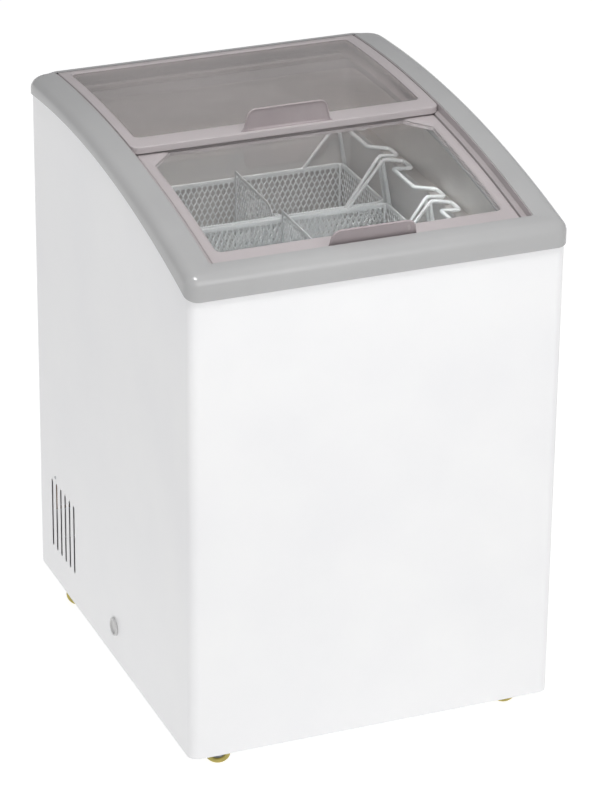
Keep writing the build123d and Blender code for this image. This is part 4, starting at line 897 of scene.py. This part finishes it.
def basket_mesh(middle):
    """Wall sheet bent round the basket, and a floor sheet clipped to its inside."""
    outline = basket_ring(middle, WALL_IN)
    around, tall = walked(outline, [0.0])[1], MESH_HIGH - MESH_LOW
    flat, faces = expanded_sheet(around, tall, wrapped=True)
    plan = walked(outline, flat[:, 0])[0]
    wall = np.column_stack([plan, MESH_LOW + np.clip(flat[:, 1], 0, tall)])
    wall_faces = without_slivers(wall, faces)
    half_x, half_y = RIM_X - FLOOR_IN, RIM_Y - FLOOR_IN
    flat, faces = expanded_sheet(2 * half_x, 2 * half_y)
    x = np.clip(flat[:, 0], 0, 2 * half_x) - half_x
    y = np.clip(flat[:, 1], 0, 2 * half_y) - half_y
    in_x, in_y = onto_arc(np.abs(x), np.abs(y), half_x, half_y, FLOOR_ROUND)
    level = np.full(len(x), MESH_LOW + FLOOR_UP)
    floor = np.column_stack([np.sign(x) * in_x, np.sign(y) * in_y + middle, level])
    floor_faces = without_slivers(floor, faces)
    return gathered([(wall, wall_faces.tolist()), (floor, floor_faces.tolist())])


for place, middle in BASKET_Y.items():
    net = piece(
        f"{place}_basket_net", basket_mesh(middle), dipped_wire, f"{place}_basket",
        [f"{place}_basket_mesh"], 60, closed=False,
    )
    gauge = net.modifiers.new("mesh_gauge", "SOLIDIFY")
    gauge.thickness, gauge.offset = MESH_SHEET * MM, 0.0
    print(place, "basket net:", len(net.data.polygons), "faces")

# %% [markdown]
# The wires are circles carried along bent lines. The hanger at each end starts at the rim, rises
# to the ledge, makes a loop out over it, runs along to the second loop and comes down again. The
# circle is set square to the line by crossing the line's direction with one fixed direction that
# it never follows, which needs no step from one ring to the next.

# %% Wires
ASIDE = np.array([0.43, 0.62, 0.66])
# A dome's two rings: how far out and how wide they are, as shares of the wire's radius
DOME_OUT, DOME_WIDE = np.array([[0.45], [0.27]]), np.array([0.35, 0.8])


def wire(line, radius, sides=14, closed=False):
    """Tube along a line: at each point two directions square to the line carry the circle.
    The ends of an open wire are domed by two smaller rings."""
    line = np.asarray(line, float)
    if closed:
        way = np.roll(line, -1, 0) - np.roll(line, 1, 0)
    else:
        way = np.gradient(line, axis=0)
    way /= np.linalg.norm(way, axis=1, keepdims=True)
    reach = np.ones(len(line))
    if not closed:
        out = radius * DOME_OUT
        line = np.vstack([line[0] - way[0] * out, line, line[-1] + way[-1] * out[::-1]])
        way = way[np.r_[0, 0, 0 : len(way), -1, -1]]
        reach = np.concatenate([DOME_WIDE, reach, DOME_WIDE[::-1]])
    first = np.cross(way, ASIDE)
    first /= np.linalg.norm(first, axis=1, keepdims=True)
    second = np.cross(way, first)
    turn = np.linspace(0, 2 * pi, sides, endpoint=False)
    circle = np.cos(turn)[:, None] * first[:, None] + np.sin(turn)[:, None] * second[:, None]
    return ringed(line[:, None] + radius * reach[:, None, None] * circle, closed)


WIRE_R, BRACE_R, FOOT_R, POST_R = 3.0, 2.6, 2.0, 1.6
LEDGE_Z, HOOK_X, HOOK_NEAR, HOOK_FAR, END_X = 706.0, 219.0, 38.0, 78.0, 200.0
HOOK_Z = LEDGE_Z + WIRE_R + 0.1
BAR_X, BAR_Z, BRACE_REACH, POST_IN = 186.0, 714.5, 55.0, 7.6
HEM_THICK, HEM_ROUND = 3.4, 1.6


def hanger(middle, end):
    """Line of one hanger wire. It leans in from the rim to the bar, and each loop slopes down
    from the bar to rest on the ledge."""
    half = [
        (END_X, -HOOK_FAR, RIM_LOW + 1),
        (BAR_X, -HOOK_FAR, BAR_Z),
        (HOOK_X, -HOOK_FAR + 3, HOOK_Z),
        (HOOK_X, -HOOK_NEAR - 6, HOOK_Z),
        (BAR_X, -HOOK_NEAR, BAR_Z),
    ]
    points = half + [(x, -y, z) for x, y, z in half[::-1]]
    rounds = [0, 4.2, 7.0, 7.0, 5.0, 5.0, 7.0, 7.0, 4.2, 0]
    line = rounded_line(np.array(points) * (end, 1, 1) + (0, middle, 0), rounds, 4, 8, False)
    return line[np.r_[True, np.linalg.norm(np.diff(line, axis=0), axis=1) > 1e-6]]


def basket_frame(middle):
    """Hemmed rim, bottom wire, hangers, braces and corner wires of one basket."""
    half, shoulder = HEM_THICK / 2, RIM_Z - HEM_ROUND
    turns = np.linspace(0.3, pi - 0.3, 7)
    hem = [(0.0, RIM_LOW), (0.0, shoulder)]
    hem += [(half - half * cos(a), shoulder + HEM_ROUND * sin(a)) for a in turns]
    hem += [(HEM_THICK, shoulder), (HEM_THICK, RIM_LOW + 2), (2.4, RIM_LOW + 1), (2.4, RIM_LOW)]
    parts = [ringed([lifted(basket_ring(middle, inset, 2), z) for inset, z in hem], True)]
    foot = lifted(basket_ring(middle, FOOT_R + 0.1, 12), BASKET_LOW + FOOT_R + 0.1)
    parts.append(wire(foot, FOOT_R, 10, True))
    for end in (-1, 1):
        parts.append(wire(hanger(middle, end), WIRE_R))
        for side in (-1, 1):
            top = (end * BAR_X, middle + side * HOOK_FAR, BAR_Z - 3)
            low = (end * (BAR_X - BRACE_REACH), middle + side * (RIM_Y - 0.6), RIM_LOW + 4)
            parts.append(wire(straight(top, low, np.linspace(0, 1, 9)), BRACE_R, 12))
            corner = (end * (RIM_X - POST_IN), middle + side * (RIM_Y - POST_IN))
            post = straight((*corner, MESH_LOW), (*corner, MESH_HIGH), np.linspace(0, 1, 5))
            parts.append(wire(post, POST_R, 10))
    return gathered(parts)


for place, middle in BASKET_Y.items():
    wires = piece(
        f"{place}_basket_wires", basket_frame(middle), dipped_wire, f"{place}_basket",
        [f"{place}_basket_frame"], 40,
    )
print("wires:", len(wires.data.polygons), "faces a basket")

# %% [markdown]
# Two baskets have a divider of the same mesh in a thin border. Its top corner at the front is
# rounded down, so that a hand doesn't catch on it, and a tab at each end slides along the rim.

# %% Dividers
DIVIDER_X = {"rear": 20.0, "middle": 28.0}
DIVIDER_HALF, DIVIDER_LOW, DIVIDER_HIGH, DIVIDER_GAUGE = 80.2, 466.0, 656.0, 1.5
DIVIDER_ROUND, DIVIDER_CORNER, DIVIDER_BORDER = 34.0, 4.0, 4.5
TAB_LONG, TAB_HALF, TAB_ROUND, EDGE = 9.0, 4.5, 1.2, 0.3
NET_OUT, NET_GAUGE = 0.25, 1.0


def thickened(net, faces, gauge):
    """A flat net made a closed shell: the net, its copy further back by the gauge, and a wall at
    every edge that only one face has."""
    count = len(net)
    edges = np.stack([faces, np.roll(faces, -1, 1)], -1).reshape(-1, 2)
    key = edges.min(1) * count + edges.max(1)
    _, index, seen = np.unique(key, return_index=True, return_counts=True)
    a, b = edges[index[seen == 1]].T
    walls = np.column_stack([b, a, a + count, b + count])
    both = np.concatenate([faces, faces[:, ::-1] + count, walls])
    return np.concatenate([net, net + (gauge, 0, 0)]), both.tolist()


def divider(middle, x):
    """Border ring, mesh clipped inside it and to the rounded corner, and two tabs."""
    rings, thick, border = [], DIVIDER_GAUGE, DIVIDER_BORDER
    section = ((EDGE, 0), (0, EDGE), (0, thick - EDGE), (EDGE, thick), (border, thick), (border, 0))
    for inset, out in section:
        half, low, high = DIVIDER_HALF - inset, DIVIDER_LOW + inset, DIVIDER_HIGH - inset
        corners = [(-half, low), (half, low), (half, high), (-half, high)]
        rounds = 3 * [DIVIDER_CORNER - inset * 0.6] + [DIVIDER_ROUND - inset]
        line = rounded_line(corners, rounds, 2, 10) + (middle, 0)
        rings.append(np.column_stack([np.full(len(line), x + out), line]))
    parts = [ringed(rings, True)]
    inset = border / 2
    half, low, high = DIVIDER_HALF - inset, DIVIDER_LOW + inset, DIVIDER_HIGH - inset
    flat, faces = expanded_sheet(2 * half, high - low)
    ahead, z = half - np.clip(flat[:, 0], 0, 2 * half), low + np.clip(flat[:, 1], 0, high - low)
    ahead, z = onto_arc(ahead, z, half, high, DIVIDER_ROUND - inset)
    net = np.column_stack([np.full(len(z), x + NET_OUT), middle - ahead, z])
    parts.append(thickened(net, without_slivers(net, faces), NET_GAUGE))
    tab = np.array([(-1, -1), (1, -1), (1, 1), (-1, 1)]) * (TAB_LONG / 2, TAB_HALF)
    for side in (-1, 1):
        tab_middle = (x + TAB_LONG / 2, middle + side * (DIVIDER_HALF - 1))
        rings = []
        for level, shrink in ((0.1, EDGE), (0.4, 0), (1.3, 0), (1.6, EDGE)):
            line = rounded_line(tab * (1 - shrink / TAB_HALF) + tab_middle, TAB_ROUND, 1, 4)
            rings.append(lifted(line, RIM_Z + level))
        parts.append(ringed(rings))
    return gathered(parts)


for place, x in DIVIDER_X.items():
    plate = piece(
        f"{place}_divider_plate", divider(BASKET_Y[place], x), dipped_wire, f"{place}_divider",
        [f"{place}_basket_divider"], 40,
    )
print("dividers:", len(plate.data.polygons), "faces each")

# %% [markdown]
# Round parts are one outline turned about an axis: the castors' tyres and hubs, the drain plug
# and the small screws that hold the rear sheets. A castor's wheel is a yellow polyurethane tyre
# on a pressed steel hub.

# %% Turned parts
SKEW = (0.13, 0.37, 0.92)


def turned(outline, centre, axis, steps=48):
    """An outline of (radius, distance along the axis) turned about the axis: each of its points
    gives one circle, laid out from a fixed direction that no axis here follows."""
    axis = np.asarray(axis, float) / np.linalg.norm(axis)
    first = np.cross(axis, SKEW)
    first /= np.linalg.norm(first)
    second = np.cross(axis, first)
    radius, out = np.asarray(outline, float).T
    turn = np.linspace(0, 2 * pi, steps, endpoint=False)
    circle = np.cos(turn)[:, None] * first + np.sin(turn)[:, None] * second
    return np.asarray(centre) + out[:, None, None] * axis + radius[:, None, None] * circle


def both_sides(half):
    """An outline from one side of a wheel, and on along the other side as its mirror image."""
    return half + [(r, -w) for r, w in half[::-1]]


WHEEL_R, WHEEL_HALF, TREAD_ROUND, TRAIL = 19.0, 8.0, 2.6, 16.0
CASTOR_TURN = radians(22.3)
CASTORS = {
    "front_left": (-242.0, -302.0, 1), "front_right": (242.0, -302.0, -1),
    "rear_left": (-242.0, 205.0, -1), "rear_right": (242.0, 205.0, 1),
}
tread = [
    (WHEEL_R - TREAD_ROUND * (1 - cos(a)), WHEEL_HALF - TREAD_ROUND * (1 - sin(a)))
    for a in np.linspace(pi / 2, 0.08, 6)
]
tyre = both_sides([(11.4, 4.6), (11.8, 6.6), (12.6, 7.6), (14.0, WHEEL_HALF)] + tread)
hub = [(3.1, 6.0), (3.4, 7.2), (5.6, 7.2), (6.2, 6.6), (6.8, 4.0), (9.0, 3.4), (11.0, 4.6)]
hub = both_sides(hub + [(11.7, 5.4)])
for place, (x, y, way) in CASTORS.items():
    ahead = np.array([cos(CASTOR_TURN), -sin(CASTOR_TURN), 0]) * way
    axle = np.array([ahead[1], -ahead[0], 0])
    middle = np.array([x, y, WHEEL_R]) + TRAIL * ahead
    body = f"{place}_wheel"
    tyre_shell = ringed(turned(tyre, middle, axle), True)
    piece(
        f"{place}_tyre", tyre_shell, tyre_finish, body,
        [f"{place}_castor_wheel"], 40,
    )
    hub_shell = ringed(turned(hub, middle, axle, 36), True)
    piece(f"{place}_hub", hub_shell, plated, body, (), 30)
plug_line = [(0.6, -13.9), (5.6, -13.9), (6.2, -13.3), (6.2, 0.0), (13.3, 0.0), (13.9, 0.6)]
plug_line += [(13.9, 2.6), (13.3, 3.4), (12.4, 3.6), (11.6, 3.4), (11.0, 2.6), (10.6, 1.2)]
plug_line += [(9.8, 0.9), (0.6, 0.9)]
plug_place = (-HALF_X - 0.1, plug_lines[1], plug_middle)
plug_shell = ringed(turned(plug_line, plug_place, (-1, 0, 0)))
piece("drain_cap", plug_shell, drain_white, "drain_plug", ["drain_plug"], 40)
RIVET_Y, RIVET_Z = 245.0, 204.0
rivet_line = [(2.6, -0.4), (2.6, 0.1), (2.3, 0.7), (1.6, 0.95), (1.2, 0.9), (1.0, -0.3)]
rivet_line += [(0.2, -0.35)]
rivets = [
    ringed(turned(rivet_line, (side * HALF_X, RIVET_Y, RIVET_Z), (side, 0, 0), 24))
    for side in (-1, 1)
]
piece("bay_rivets", gathered(rivets), plated, "cabinet", (), 40)
print("wheels:", len(CASTORS), "and a drain plug, rivets:", len(rivets))

# %% Screws at the rear
SCREW_R, SCREW_TALL, SCREW_SUNK = 3.6, 1.9, 0.4
RECESS_DEEP, RECESS_HALF, RECESS_SLOPE = 1.0, 0.45, 0.25
RECESS_END, END_SLOPE = 0.52, 0.08


def screw_head(x, y, z, turn_by):
    """Pan head as a height over a polar grid: a flattened dome, less a cross-shaped recess that
    ends at half the radius. The recess is turned by its own angle, as screws come to rest."""
    share = np.concatenate([[0.02], np.linspace(0.08, 0.6, 9), [0.72, 0.84, 0.92, 0.98, 1, 1]])
    share = share[:, None]
    turn = np.linspace(0, 2 * pi, 48, endpoint=False)
    radius = SCREW_R * share * np.ones_like(turn)
    off_arm = radius * np.minimum(*np.abs([np.sin(turn - turn_by), np.cos(turn - turn_by)]))
    sink = np.clip((RECESS_HALF + RECESS_SLOPE - off_arm) / RECESS_SLOPE, 0, 1)
    sink *= np.clip((RECESS_END - share) / END_SLOPE, 0, 1)
    height = SCREW_TALL * (1 - share**4) ** 0.5 - RECESS_DEEP * sink
    height[-1] = -SCREW_SUNK
    return ringed(np.stack([x + radius * np.cos(turn), y + height, z + radius * np.sin(turn)], -1))


# The cover has eight screws round its edge, and the wrap's turned-in edges have four each
cover_holes = [(x, z) for z in (48, 133, 218) for x in (-238, 0, 238) if (x, z) != (0, 133)]
screws = [screw_head(x, HALF_Y + 1.2, z, 0.7 * i) for i, (x, z) in enumerate(cover_holes)]
for i, z in enumerate((262, 396, 530, 664)):
    screws.append(screw_head(-243, HALF_Y, z, 0.5 + 0.9 * i))
    screws.append(screw_head(243, HALF_Y, z, 0.2 + 1.1 * i))
piece("rear_screws", gathered(screws), plated, "cabinet", (), 50)
print("screws:", len(screws))
